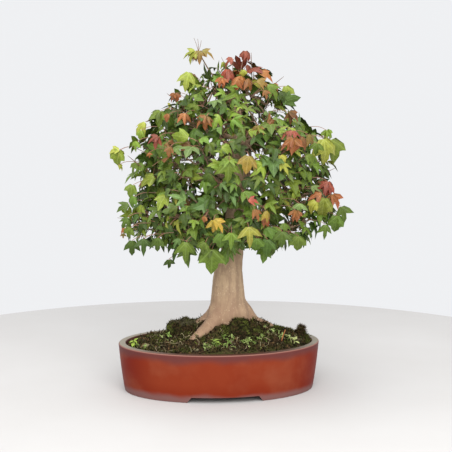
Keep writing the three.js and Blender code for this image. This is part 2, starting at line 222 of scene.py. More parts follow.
# ---------------------------------------------------------------- node trees
class Graph:
    """Adds and joins nodes in one material or node group."""

    def __init__(self, tree: Tree) -> None:
        """Keeps the tree that is worked on."""
        self.tree = tree

    def add(self, kind: str, inputs: dict[str | int, object] | None = None, **settings: object) -> Node:
        """Adds a node.

        Args:
            kind: The node's type.
            inputs: Values or sockets for its inputs, by name or number.
            **settings: The node's own settings.

        Returns:
            The new node.
        """
        node = self.tree.nodes.new(kind)
        for name, value in settings.items():
            setattr(node, name, value)
        for name, value in (inputs or {}).items():
            self.feed(node.inputs[name], value)
        return node

    def feed(self, socket: Socket, value: object) -> None:
        """Links a socket to another one, or sets its value."""
        if isinstance(value, Socket):
            self.tree.links.new(value, socket)
        elif isinstance(value, tuple) and len(value) == 3 and socket.type == "RGBA":
            socket.default_value = (*value, 1)
        else:
            socket.default_value = value

    def math(self, operation: str, *values: object, clamp: bool = False) -> Socket:
        """The result of a math node on one to three values."""
        node = self.add("ShaderNodeMath", dict(enumerate(values)), operation=operation, use_clamp=clamp)
        return node.outputs[0]

    def times(self, first: object, second: object) -> Socket:
        """A product."""
        return self.math("MULTIPLY", first, second)

    def rest(self, value: object, clamp: bool = False) -> Socket:
        """What is left of 1."""
        return self.math("SUBTRACT", 1.0, value, clamp=clamp)

    def blend(self, share: object, first: object, second: object) -> Socket:
        """A colour mixed from two by a share."""
        node = self.add("ShaderNodeMix", data_type="RGBA")
        for name, value in zip((0, 6, 7), (share, first, second)):
            self.feed(node.inputs[name], value)
        return node.outputs[2]

    def span(self, value: object, low: object, high: object) -> Socket:
        """A value brought softly from a range to 0 to 1."""
        inputs = {"Value": value, "From Min": low, "From Max": high}
        return self.add("ShaderNodeMapRange", inputs, interpolation_type="SMOOTHSTEP").outputs["Result"]

    def cloud(self, vector: object, scale: float, detail: float = 3, roughness: float = 0.5) -> Socket:
        """Soft noise from 0 to 1 at a scale given in waves a metre."""
        inputs = {"Vector": vector, "Scale": scale, "Detail": detail, "Roughness": roughness}
        return self.add("ShaderNodeTexNoise", inputs).outputs["Fac"]

    def place(self, scale: Triple = (1, 1, 1)) -> Socket:
        """Object coordinates centred on the pot and stretched."""
        source = self.add("ShaderNodeTexCoord").outputs["Object"]
        shift = tuple(-m * s for m, s in zip(POT_MIDDLE, scale))
        inputs = {"Vector": source, "Location": shift, "Scale": scale}
        return self.add("ShaderNodeMapping", inputs).outputs["Vector"]

    def parts(self, vector: object) -> bpy.types.NodeOutputs:
        """The X, Y and Z of a vector."""
        return self.add("ShaderNodeSeparateXYZ", {"Vector": vector}).outputs

    def normal(self) -> Socket:
        """The way that the surface faces."""
        return self.add("ShaderNodeNewGeometry").outputs["Normal"]

    def own(self, attribute: str) -> bpy.types.NodeOutputs:
        """An attribute that the piece brings."""
        return self.add("ShaderNodeAttribute", attribute_name=attribute).outputs

    def toned(self, colour: object, value: float, saturation: float = 1.0) -> Socket:
        """A colour with its brightness and saturation changed."""
        inputs = {"Color": colour, "Value": value, "Saturation": saturation}
        return self.add("ShaderNodeHueSaturation", inputs).outputs["Color"]

    def group(self, tree: Tree, **inputs: object) -> Socket:
        """The result of a node group."""
        return self.add("ShaderNodeGroup", inputs, node_tree=tree).outputs[0]


def start_group(
    name: str, inputs: dict[str, float | None], output: str,
) -> tuple[Graph, bpy.types.NodeOutputs, Socket]:
    """Starts a node group.

    Args:
        name: The group's name.
        inputs: Names of its inputs with their usual values; None stands for a vector.
        output: The name of the value that it puts out.

    Returns:
        Its graph, the sockets that bring the inputs, and the socket that takes the result.
    """
    tree = bpy.data.node_groups.new(name, "ShaderNodeTree")
    for title, value in inputs.items():
        kind = "NodeSocketVector" if value is None else "NodeSocketFloat"
        socket = tree.interface.new_socket(title, in_out="INPUT", socket_type=kind)
        if value is not None:
            socket.default_value = value
    tree.interface.new_socket(output, in_out="OUTPUT", socket_type="NodeSocketFloat")
    graph = Graph(tree)
    source = graph.add("NodeGroupInput").outputs
    return graph, source, graph.add("NodeGroupOutput").inputs[output]


@cache
def cloudy_patches() -> Tree:
    """Cloudy patches with soft edges: Vector, Scale, Low and High give Mask."""
    inputs = {"Vector": None, "Scale": 40.0, "Low": 0.45, "High": 0.6}
    graph, source, result = start_group("cloudy_patches", inputs, "Mask")
    waves = {"Vector": source["Vector"], "Scale": source["Scale"], "Detail": 4.0}
    cloud = graph.add("ShaderNodeTexNoise", waves).outputs["Fac"]
    graph.feed(result, graph.span(cloud, source["Low"], source["High"]))
    return graph.tree


@cache
def fine_grain() -> Tree:
    """Fine uneven grain of two sizes: Vector, Scale and Coarse give Height."""
    inputs = {"Vector": None, "Scale": 900.0, "Coarse": 0.4}
    graph, source, result = start_group("fine_grain", inputs, "Height")
    waves = {"Vector": source["Vector"], "Scale": source["Scale"], "Detail": 2.0}
    fine = graph.add("ShaderNodeTexNoise", waves).outputs["Fac"]
    broad_waves = {"Vector": source["Vector"], "Scale": graph.times(source["Scale"], 0.22)}
    broad = graph.add("ShaderNodeTexNoise", broad_waves).outputs["Fac"]
    broad_part = graph.times(broad, source["Coarse"])
    fine_part = graph.times(fine, graph.rest(source["Coarse"]))
    graph.feed(result, graph.math("ADD", broad_part, fine_part))
    return graph.tree


@cache
def wavering_level() -> Tree:
    """A wavering level: Vector, Level, Softness and Waver give Above, 1 over it and 0 under it."""
    inputs = {"Vector": None, "Level": 0.05, "Softness": 0.004, "Waver": 0.01}
    graph, source, result = start_group("wavering_level", inputs, "Above")
    height = graph.parts(source["Vector"])["Z"]
    waves = graph.cloud(source["Vector"], 22, 3)
    shift = graph.times(graph.math("SUBTRACT", waves, 0.5), source["Waver"])
    past = graph.math("SUBTRACT", graph.math("ADD", height, shift), source["Level"])
    graph.feed(result, graph.span(graph.math("DIVIDE", past, source["Softness"]), -1, 1))
    return graph.tree


@cache
def blade_veins() -> Tree:
    """Veins of a three-lobed blade: its flat Vector and Width give Mask, 1 on a vein."""
    graph, source, result = start_group("blade_veins", {"Vector": None, "Width": 0.03}, "Mask")
    flat = graph.parts(source["Vector"])
    across = graph.math("ABSOLUTE", flat["X"])
    ahead = flat["Y"]
    lobe_turn = math.radians(45)
    lean = graph.times(across, math.cos(lobe_turn))
    lobe = graph.math("ABSOLUTE", graph.math("SUBTRACT", lean, graph.times(ahead, math.sin(lobe_turn))))
    main = graph.math("MINIMUM", across, lobe)
    slant = graph.math("SUBTRACT", ahead, graph.times(across, 0.9))
    side = graph.math("PINGPONG", slant, 0.055)
    main_mask = graph.rest(graph.math("DIVIDE", main, source["Width"]), clamp=True)
    side_width = graph.times(source["Width"], 0.45)
    side_mask = graph.rest(graph.math("DIVIDE", side, side_width), clamp=True)
    graph.feed(result, graph.math("MAXIMUM", main_mask, graph.times(side_mask, 0.45)))
    return graph.tree


@dataclass(frozen=True)
class Clouds:
    """Cloudy patches: waves a metre, where in the noise they start and are full, and their share."""

    scale: float
    low: float
    high: float
    share: float = 1

    def over(self, graph: Graph, place: Socket) -> Socket:
        """The patches as a mask."""
        mask = graph.group(cloudy_patches(), Vector=place, Scale=self.scale, Low=self.low, High=self.high)
        return mask if self.share == 1 else graph.times(mask, self.share)


@dataclass(frozen=True)
class Level:
    """A wavering level in a finish: its height, how soft its edge is, how far it wavers, and its share."""

    height: float
    softness: float
    waver: float
    share: float = 1

    def above(self, graph: Graph, place: Socket) -> Socket:
        """What lies over the level, as a mask."""
        inputs = {"Vector": place, "Level": self.height, "Softness": self.softness, "Waver": self.waver}
        return graph.times(graph.group(wavering_level(), **inputs), self.share)

    def below(self, graph: Graph, place: Socket) -> Socket:
        """What lies under the level, as a mask."""
        inputs = {"Vector": place, "Level": self.height, "Softness": self.softness, "Waver": self.waver}
        return graph.times(graph.rest(graph.group(wavering_level(), **inputs)), self.share)


@dataclass(frozen=True)
class Grain:
    """Fine grain: waves a metre, the share of the coarse ones, and the relief's strength and depth."""

    scale: float
    coarse: float
    strength: float
    depth: float

    def over(self, graph: Graph, place: Socket) -> Socket:
        """The grain as a height."""
        return graph.group(fine_grain(), Vector=place, Scale=self.scale, Coarse=self.coarse)


def new_material(name: str, roughness: float, specular: float) -> tuple[Material, Graph, Node]:
    """Starts a material with a Principled shader.

    Args:
        name: The material's name.
        roughness: How dull it is where nothing varies it.
        specular: Its specular level.

    Returns:
        The material, its graph and its shader node.
    """
    material = bpy.data.materials.new(name)
    material.use_nodes = True
    shader = material.node_tree.nodes["Principled BSDF"]
    shader.inputs["Roughness"].default_value = roughness
    shader.inputs["Specular IOR Level"].default_value = specular
    return material, Graph(material.node_tree), shader


def roughen(graph: Graph, shader: Node, height: Socket, strength: float, depth: float) -> None:
    """Feeds a height through a Bump node into a shader's Normal."""
    bump = graph.add("ShaderNodeBump", {"Height": height, "Strength": strength, "Distance": depth})
    graph.feed(shader.inputs["Normal"], bump.outputs["Normal"])


# ---------------------------------------------------------------- finishes
@dataclass(frozen=True)
class StonewareFinish:
    """Unglazed red clay with cloudy mauve bands under the rim and round the foot.

    end_zone is where painted shade darkens the clay towards the pot's ends, rim_zone where the rim starts,
    and rim_depth where its top goes from painted shade at its front to its pale back.
    """

    body: Colour = (0.224, 0.0315, 0.0095)
    # Painted shade at the pot's ends and bottom, and also the clay's darker cloudy tone.
    ends: Colour = (0.160, 0.0085, 0.0008)
    pale: Colour = (0.265, 0.066, 0.030)
    mauve: Colour = (0.108, 0.035, 0.034)
    foot: Colour = (0.192, 0.106, 0.098)
    rim: Colour = (0.262, 0.232, 0.178)
    # Painted highlight on the rim's outer rounding.
    edge: Colour = (0.40, 0.21, 0.16)
    # Painted shade on the rim's front and on faces that look in towards the pot's middle.
    painted_rim_shade: Colour = (0.090, 0.038, 0.026)
    pale_clouds: Clouds = Clouds(17.0, 0.5, 0.72, 0.55)
    deep_clouds: Clouds = Clouds(30.0, 0.42, 0.75, 0.3)
    mauve_level: Level = Level(0.0565, 0.0060, 0.016, 0.82)
    foot_level: Level = Level(0.0085, 0.0045, 0.014, 0.8)
    end_zone: Span = (0.085, 0.135)
    rim_zone: Span = (0.055, 0.062)
    rim_depth: Span = (-0.088, -0.02)
    grain: Grain = Grain(850.0, 0.5, 0.22, 0.0004)

    def make(self) -> Material:
        """The clay as a material."""
        material, graph, shader = new_material("red_stoneware", 0.46, 0.1)
        place = graph.place()
        axes = graph.parts(place)
        height = axes["Z"]
        sideways = graph.math("ABSOLUTE", axes["X"])
        # Painted shade: the clay darkened towards the pot's ends.
        colour = graph.blend(graph.span(sideways, *self.end_zone), self.body, self.ends)
        # Painted shade: the clay darkened towards the bottom of the pot.
        low_shade = graph.math("SUBTRACT", 0.5, graph.span(height, 0.0, 0.05), clamp=True)
        colour = graph.blend(low_shade, colour, self.ends)
        colour = graph.blend(self.pale_clouds.over(graph, place), colour, self.pale)
        # Cloudy darker patches of the clay's own tone, in the painted shade's colour.
        colour = graph.blend(self.deep_clouds.over(graph, place), colour, self.ends)
        colour = graph.blend(self.mauve_level.above(graph, place), colour, self.mauve)
        colour = graph.blend(self.foot_level.below(graph, place), colour, self.foot)
        rise = graph.parts(graph.normal())["Z"]
        flat = graph.span(rise, 0.75, 0.98)
        # Painted highlight: the band of the rim's outer rounding that is made paler.
        rim_highlight_band = graph.times(graph.span(rise, 0.2, 0.6), graph.rest(flat))
        near_rim = graph.span(height, *self.rim_zone)
        # Painted shade on faces that look in towards the pot's middle, such as the inner wall.
        looks = {0: place, 1: graph.normal()}
        facing = graph.add("ShaderNodeVectorMath", looks, operation="DOT_PRODUCT").outputs["Value"]
        inner = graph.span(facing, 0.004, -0.004)
        colour = graph.blend(graph.times(graph.times(rim_highlight_band, near_rim), 0.55), colour, self.edge)
        colour = graph.blend(graph.times(inner, 0.85), colour, self.painted_rim_shade)
        on_rim = graph.times(flat, near_rim)
        # The rim's top: painted shade at its front, its own pale grey-brown towards the back.
        rim = graph.blend(graph.span(axes["Y"], *self.rim_depth), self.painted_rim_shade, self.rim)
        colour = graph.blend(on_rim, colour, rim)
        grain = self.grain.over(graph, place)
        colour = graph.blend(graph.times(graph.span(grain, 0.62, 0.72), 0.16), colour, self.pale)
        graph.feed(shader.inputs["Base Color"], colour)
        graph.feed(shader.inputs["Roughness"], graph.math("ADD", 0.36, graph.times(grain, 0.24)))
        roughen(graph, shader, grain, self.grain.strength, self.grain.depth)
        return material


@dataclass(frozen=True)
class EarthFinish:
    """Damp soil: dark crumbs with rusty and olive patches."""

    dark: Colour = (0.009, 0.006, 0.003)
    brown: Colour = (0.085, 0.052, 0.026)
    olive: Colour = (0.05, 0.052, 0.014)
    crumb_waves: float = 420
    olive_clouds: Clouds = Clouds(55.0, 0.44, 0.6, 0.7)

    def make(self) -> Material:
        """The soil as a material."""
        material, graph, shader = new_material("damp_soil", 0.92, 0.1)
        place = graph.place()
        crumbs = graph.cloud(place, self.crumb_waves, 4, 0.65)
        colour = graph.blend(graph.span(crumbs, 0.38, 0.66), self.dark, self.brown)
        colour = graph.blend(self.olive_clouds.over(graph, place), colour, self.olive)
        graph.feed(shader.inputs["Base Color"], colour)
        roughen(graph, shader, crumbs, 0.7, 0.0012)
        return material


@dataclass(frozen=True)
class BarkFinish:
    """Smooth young maple bark: tan, pinkish at the roots, with pale flecks and faint bands."""

    tan: Colour = (0.50, 0.350, 0.216)
    shade: Colour = (0.35, 0.232, 0.145)
    root: Colour = (0.29, 0.165, 0.102)
    fleck: Colour = (0.66, 0.50, 0.34)
    stub: Colour = (0.035, 0.02, 0.014)
    root_level: Level = Level(0.118, 0.03, 0.05, 0.7)
    fleck_waves: float = 420.0
    fleck_clouds: Clouds = Clouds(70.0, 0.46, 0.62, 0.45)
    grain: Grain = Grain(700.0, 0.55, 0.5, 0.0009)

    def make(self) -> Material:
        """The trunk's bark as a material."""
        material, graph, shader = new_material("smooth_bark", 0.72, 0.3)
        place = graph.place()
        tall = graph.place((1, 1, 0.22))
        streaks = graph.cloud(tall, 120, 6, 0.68)
        colour = graph.blend(graph.span(streaks, 0.38, 0.62), self.shade, self.tan)
        colour = graph.blend(self.root_level.below(graph, place), colour, self.root)
        girdle = graph.cloud(graph.place((0.3, 0.3, 1)), 150, 3, 0.55)
        colour = graph.blend(graph.times(graph.span(girdle, 0.55, 0.7), 0.35), colour, self.shade)
        inputs = {"Vector": graph.place((1, 1, 0.6)), "Scale": self.fleck_waves}
        cells = graph.add("ShaderNodeTexVoronoi", inputs)
        fleck = graph.rest(graph.span(cells.outputs["Distance"], 0.16, 0.34))
        fleck = graph.times(fleck, graph.math("ADD", 0.12, self.fleck_clouds.over(graph, place)))
        colour = graph.blend(fleck, colour, self.fleck)
        colour = graph.blend(graph.own("char")["Fac"], colour, self.stub)
        graph.feed(shader.inputs["Base Color"], colour)
        relief = graph.math("ADD", self.grain.over(graph, tall), graph.times(fleck, 0.5))
        relief = graph.math("ADD", relief, graph.times(girdle, 0.6))
        roughen(graph, shader, relief, self.grain.strength, self.grain.depth)
        return material


@dataclass(frozen=True)
class TintedFinish:
    """Plant stuff whose colour comes from the piece's own tint: moss, twigs, crumbs and stalks."""

    name: str
    roughness: float
    mottle: float
    grain: Grain

    def make(self) -> Material:
        """The tinted stuff as a material."""
        material, graph, shader = new_material(self.name, self.roughness, 0.1)
        place = graph.place()
        tint = graph.own("tint")["Color"]
        grain = self.grain.over(graph, place)
        darker, lighter = [graph.toned(tint, 1 + side * self.mottle) for side in (-1, 1)]
        graph.feed(shader.inputs["Base Color"], graph.blend(graph.span(grain, 0.4, 0.62), darker, lighter))
        roughen(graph, shader, grain, self.grain.strength, self.grain.depth)
        return material


@dataclass(frozen=True)
class BladeFinish:
    """Maple blades: tinted, with paler veins, a mottled satin face and fine relief between the veins."""

    roughness: float = 0.42
    specular: float = 0.26
    vein_width: float = 0.035
    vein_gain: float = 1.75
    mottling: Clouds = Clouds(260.0, 0.36, 0.66)
    mottle_gains: Span = (0.8, 1.12)

    def make(self) -> Material:
        """The blades as a material."""
        material, graph, shader = new_material("maple_blades", self.roughness, self.specular)
        place = graph.place()
        tint = graph.own("tint")["Color"]
        flat = graph.add("ShaderNodeUVMap", uv_map="blade").outputs["UV"]
        veins = graph.group(blade_veins(), Vector=flat, Width=self.vein_width)
        mottle = self.mottling.over(graph, place)
        dull, fresh = [graph.toned(tint, gain) for gain in self.mottle_gains]
        colour = graph.blend(mottle, dull, fresh)
        pale = graph.toned(tint, self.vein_gain, 0.85)
        colour = graph.blend(graph.times(veins, 0.6), colour, pale)
        graph.feed(shader.inputs["Base Color"], colour)
        gloss = graph.math("ADD", self.roughness - 0.06, graph.times(mottle, 0.16))
        graph.feed(shader.inputs["Roughness"], gloss)
        roughen(graph, shader, graph.math("SUBTRACT", mottle, veins), 0.3, 0.0004)
        return material


@dataclass(frozen=True)
class PlainFinish:
    """Small made parts: moulded plastic mesh or drawn wire, with scuffs and a fine grain."""

    name: str
    colour: Colour
    scuffed: Colour
    roughness: float
    metallic: float = 0.0
    scuffs: Clouds = Clouds(160.0, 0.45, 0.65)
    grain: Grain = Grain(2200.0, 0.3, 0.15, 0.0002)

    def make(self) -> Material:
        """The made part's finish as a material."""
        material, graph, shader = new_material(self.name, self.roughness, 0.5)
        place = graph.place()
        worn = self.scuffs.over(graph, place)
        graph.feed(shader.inputs["Base Color"], graph.blend(worn, self.colour, self.scuffed))
        shader.inputs["Metallic"].default_value = self.metallic
        grain = self.grain.over(graph, place)
        rough = graph.math("ADD", self.roughness - 0.1, graph.times(grain, 0.2))
        graph.feed(shader.inputs["Roughness"], rough)
        roughen(graph, shader, grain, self.grain.strength, self.grain.depth)
        return material


# ---------------------------------------------------------------- camera, floor and light
@dataclass(frozen=True)
class Softbox:
    """A square soft lamp: where it hangs, its side in metres and its power in watts."""

    name: str
    place: Triple
    size: float
    power: float


@dataclass
class Studio:
    """Where the tree is looked at from, the pale floor that it stands on, and the soft light."""

    distance: float = 1335
    height: float = 369.5
    turn: float = -5.76
    pitch: float = 6.12
    lens: float = 77.5
    sensor: float = 36
    shift: float = 0.0149
    floor_radius: float = 660
    floor_tones: tuple[Colour, Colour] = ((0.52, 0.505, 0.49), (0.57, 0.56, 0.55))
    lamps: tuple[Softbox, ...] = (
        Softbox("key_softbox", (60, -1250, 920), 1.2, 21.0),
        Softbox("top_softbox", (-150, -150, 1350), 1.0, 9.0),
    )
    lamp_aim: Triple = (0, 0, 220)
    surround: Colour = (0.94, 0.95, 0.97)
    surround_strength: float = 0.92

    def set_camera(self) -> None:
        """Puts the camera at the viewer's place."""
        data = bpy.data.cameras.new("viewer")
        data.lens = self.lens
        data.sensor_width = self.sensor
        data.shift_x = self.shift
        data.clip_start = 0.05
        camera = bpy.data.objects.new("viewer", data)
        turn = math.radians(self.turn)
        camera.location = spot(self.distance * math.sin(turn), -self.distance * math.cos(turn), self.height)
        camera.rotation_euler = (math.radians(90 - self.pitch), 0, turn)
        bpy.context.scene.collection.objects.link(camera)
        bpy.context.scene.camera = camera

    def lay_floor(self) -> None:
        """Lays the plain pale floor, a wide round table top."""
        bpy.ops.object.select_all(action="DESELECT")
        radius = self.floor_radius * MM
        bpy.ops.mesh.primitive_circle_add(vertices=160, radius=radius, fill_type="NGON", location=POT_MIDDLE)
        floor = bpy.context.active_object
        floor.name = "pale_floor"
        material, graph, shader = new_material("pale_plaster", 0.85, 0.2)
        cloud = graph.cloud(graph.place(), 6, 3)
        graph.feed(shader.inputs["Base Color"], graph.blend(cloud, *self.floor_tones))
        floor.data.materials.append(material)

    def set_light(self) -> None:
        """Hangs one big soft lamp over the front, a smaller one over the left, and a bright even surround."""
        for softbox in self.lamps:
            data = bpy.data.lights.new(softbox.name, "AREA")
            data.size = softbox.size
            data.energy = softbox.power
            lamp = bpy.data.objects.new(softbox.name, data)
            lamp.location = spot(*softbox.place)
            aim = spot(*self.lamp_aim) - lamp.location
            lamp.rotation_euler = aim.to_track_quat("-Z", "Y").to_euler()
            bpy.context.scene.collection.objects.link(lamp)
        world = bpy.data.worlds.new("surround")
        world.use_nodes = True
        background = world.node_tree.nodes["Background"]
        background.inputs["Color"].default_value = (*self.surround, 1)
        background.inputs["Strength"].default_value = self.surround_strength
        bpy.context.scene.world = world
        bpy.context.scene.view_settings.view_transform = "Standard"

    def build(self) -> None:
        """Camera, floor and light in order."""
        self.set_camera()
        self.lay_floor()
        self.set_light()


# ---------------------------------------------------------------- small shapes and their copies
CELL_EDGE = 0.03  # the bare edge of a shape's cell in the map
WALL_STRIP = 0.8  # the share of a cell that a tube's wall takes
CAP_DISC = 0.08  # the radius of a tube's end caps in its cell
NO_VEINS = 9.0  # a place on the flat blade where no vein runs


@dataclass
class Pattern:
    """One small closed shape, kept as arrays and ready to be copied many times.

    points and faces are its mesh. For each corner of its faces, cell is the place in the map and blade
    the place on the flat blade that carries the veins. outward is each point's share of the outer colour.
    """

    points: np.ndarray
    faces: list[tuple[int, ...]]
    cell: np.ndarray
    blade: np.ndarray
    outward: np.ndarray


def fit_cell(flat: np.ndarray, low: Span, high: Span) -> np.ndarray:
    """Fits flat coordinates into a box of a unit cell.

    Args:
        flat: Coordinates, one row a corner.
        low: The box's lower corner.
        high: Its upper corner.

    Returns:
        The coordinates inside the box.
    """
    start, end = flat.min(0), flat.max(0)
    share = (flat - start) / np.maximum(end - start, 1e-9)
    return np.array(low) + share * (np.array(high) - np.array(low))


def pattern_of(obj: Piece, reach: float) -> Pattern:
    """Turns a modelled shape into a pattern and throws the shape away.

    Upper and under faces are laid side by side in the pattern's cell, each seen flat from above.

    Args:
        obj: The shape, in shares of its length, with its foot at the origin.
        reach: How far from the foot its outer colour is reached.

    Returns:
        The pattern.
    """
    mesh = obj.data
    points = np.array([v.co for v in mesh.vertices], float)
    flat = np.array([v.co.xy for v in mesh.vertices], float)
    faces = [tuple(polygon.vertices) for polygon in mesh.polygons]
    half = {True: [], False: []}
    for number, polygon in enumerate(mesh.polygons):
        half[polygon.normal.z >= 0].append(number)
    loops = np.concatenate([np.array(face) for face in faces])
    starts = np.cumsum([0] + [len(face) for face in faces])
    cell = np.zeros((len(loops), 2))
    low, high = CELL_EDGE, 1 - CELL_EDGE
    boxes = {True: ((low, low), (0.48, high)), False: ((0.52, low), (high, high))}
    for side, numbers in half.items():
        rows = [row for n in numbers for row in range(starts[n], starts[n + 1])]
        if rows:
            cell[rows] = fit_cell(flat[loops[rows]], *boxes[side])
    outward = np.clip(np.hypot(flat[:, 0], flat[:, 1]) / reach, 0, 1)
    bpy.data.objects.remove(obj)
    return Pattern(points, faces, cell, flat[loops], outward)


class Growth:
    """Collects placed copies of patterns and tubes, and makes one mesh of them with tints and maps."""

    def __init__(self) -> None:
        """Starts with nothing collected."""
        self.points: list[np.ndarray] = []
        self.faces: list[tuple[int, ...]] = []
        self.cells: list[np.ndarray] = []
        self.blades: list[np.ndarray] = []
        self.tints: list[np.ndarray] = []
        self.total = 0

    def _take(
        self, points: np.ndarray, faces: Sequence[tuple[int, ...]], cell: np.ndarray, blade: np.ndarray,
        tints: np.ndarray,
    ) -> None:
        """Adds one shape's arrays to the collection."""
        self.faces.extend(tuple(i + self.total for i in face) for face in faces)
        self.total += len(points)
        self.points.append(points)
        self.cells.append(cell)
        self.blades.append(blade)
        self.tints.append(tints)

    def add(self, pattern: Pattern, matrix: Matrix, inner: Colour, outer: Colour) -> None:
        """Adds a copy of a pattern.

        Args:
            pattern: What is copied.
            matrix: Its size and place, in millimetres.
            inner: The colour at its foot.
            outer: The colour at its reach.
        """
        turn = np.array(matrix)
        points = pattern.points @ turn[:3, :3].T + turn[:3, 3]
        share = pattern.outward[:, None]
        tints = np.array(inner) * (1 - share) + np.array(outer) * share
        self._take(points, pattern.faces, pattern.cell, pattern.blade, tints)

    def add_tube(
        self, path: Sequence[Vector], radii: Sequence[float], sides: int, inner: Colour,
        outer: Colour | None = None,
    ) -> None:
        """Adds a closed round stem along a path.

        Its map has the wall in a strip and the two end caps as small discs over it.

        Args:
            path: Its middle line, in millimetres.
            radii: Its girth at each point of the path.
            sides: How many sides it has.
            inner: The colour at its start.
            outer: The colour at its end, where it isn't the same.
        """
        count = len(path)
        across = (path[1] - path[0]).normalized().orthogonal().normalized()
        points = []
        for i, (point, radius) in enumerate(zip(path, radii)):
            ahead = (path[min(i + 1, count - 1)] - path[max(i - 1, 0)]).normalized()
            across = (across - ahead * across.dot(ahead)).normalized()
            beside = ahead.cross(across)
            for k in range(sides):
                angle = FULL_TURN * k / sides
                points.append(point + (across * math.cos(angle) + beside * math.sin(angle)) * radius)
        faces, cell = [], []
        for i in range(count - 1):
            for k in range(sides):
                after = (k + 1) % sides
                row, next_row = i * sides, (i + 1) * sides
                faces.append((row + k, row + after, next_row + after, next_row + k))
                low, high = i / (count - 1), (i + 1) / (count - 1)
                left, right = k / sides * WALL_STRIP, (k + 1) / sides * WALL_STRIP
                cell += [(low, left), (low, right), (high, right), (high, left)]
        caps = (tuple(range(sides))[::-1], tuple((count - 1) * sides + k for k in range(sides)))
        for number, cap in enumerate(caps):
            faces.append(cap)
            turn = 1 if number else -1
            for k in range(sides):
                angle = turn * FULL_TURN * k / sides
                middle = (0.2 + 0.5 * number, 0.91)
                cell.append((middle[0] + CAP_DISC * math.cos(angle), middle[1] + CAP_DISC * math.sin(angle)))
        share = np.repeat(np.linspace(0, 1, count), sides)[:, None]
        tints = np.array(inner) * (1 - share) + np.array(outer or inner) * share
        cells = CELL_EDGE + (1 - 2 * CELL_EDGE) * np.array(cell)
        blade = np.full((len(cell), 2), NO_VEINS)
        self._take(np.array([tuple(p) for p in points]), faces, cells, blade, tints)

    def build(self, name: str, smooth_degrees: float) -> Piece:
        """Makes the mesh, in its place in the frame.

        Args:
            name: The piece's name.
            smooth_degrees: Edges under this angle are shaded smooth.

        Returns:
            The new piece.
        """
        mesh = bpy.data.meshes.new(name)
        mesh.from_pydata(np.concatenate(self.points).tolist(), [], self.faces)
        side = math.ceil(math.sqrt(len(self.cells)))
        placed = [(cell + (number % side, number // side)) / side for number, cell in enumerate(self.cells)]
        for title, rows in (("OFBake", placed), ("blade", self.blades)):
            layer = mesh.uv_layers.new(name=title)
            layer.data.foreach_set("uv", np.concatenate(rows).astype(np.float32).ravel())
        tint = mesh.color_attributes.new(name="tint", type="FLOAT_COLOR", domain="POINT")
        rows = np.concatenate(self.tints)
        tint.data.foreach_set("color", np.hstack([rows, np.ones((len(rows), 1))]).astype(np.float32).ravel())
        obj = bpy.data.objects.new(name, mesh)
        bpy.context.scene.collection.objects.link(obj)
        set_in_frame(obj)
        soften(obj, smooth_degrees)
        return obj


def smooth_path(points: Sequence[Vector], steps: int) -> list[Vector]:
    """A smooth line through points.

    Args:
        points: The points, at least two.
        steps: How many stretches each gap gets.

    Returns:
        The points of the line.
    """
    ends = [2 * points[0] - points[1], *points, 2 * points[-1] - points[-2]]
    line = []
    for i in range(1, len(ends) - 2):
        a, b, c, d = ends[i - 1:i + 3]
        square = 2 * a - 5 * b + 4 * c - d
        cube = 3 * b - a - 3 * c + d
        for k in range(steps):
            t = k / steps
            line.append(0.5 * (2 * b + (c - a) * t + square * t * t + cube * t ** 3))
    return [*line, points[-1].copy()]


# ---------------------------------------------------------------- pot
def turn_oval(name: str, rings: Sequence[Ring], stretch: float, segments: int) -> Piece:
    """Builds a closed oval body by pulling a disc from ring to ring.

    Args:
        name: The body's name.
        rings: Half-width and height of each ring, from the first face's to the last one's.
        stretch: How much longer than wide each ring is, on each side.
        segments: How many sides a ring has.

    Returns:
        The body, in millimetres round the pot's middle.
    """
    bpy.ops.object.select_all(action="DESELECT")
    bpy.ops.mesh.primitive_circle_add(vertices=segments, radius=1, fill_type="NGON")
    obj = bpy.context.active_object
    obj.name = name
    start_edit(obj)
    radius, height = rings[0]
    bpy.ops.transform.resize(value=(radius + stretch, radius, 1), center_override=(0, 0, 0))
    bpy.ops.transform.translate(value=(0, 0, height))
    for next_radius, next_height in rings[1:]:
        bpy.ops.mesh.extrude_region_move(TRANSFORM_OT_translate={"value": (0, 0, next_height - height)})
        grow = ((next_radius + stretch) / (radius + stretch), next_radius / radius, 1)
        bpy.ops.transform.resize(value=grow, center_override=(0, 0, next_height))
        radius, height = next_radius, next_height
    end_closed()
    return obj


def rounding(middle: Ring, radius: float, start: float, stop: float, steps: int = 4) -> list[Ring]:
    """Rings of a rounded edge.

    Args:
        middle: The middle of its arc, as half-width and height.
        radius: The arc's radius.
        start: Where it starts, in degrees from straight out.
        stop: Where it ends.
        steps: How many stretches it has.

    Returns:
        The arc's rings.
    """
    turns = [math.radians(start + (stop - start) * i / steps) for i in range(steps + 1)]
    return [(middle[0] + radius * math.cos(t), middle[1] + radius * math.sin(t)) for t in turns]


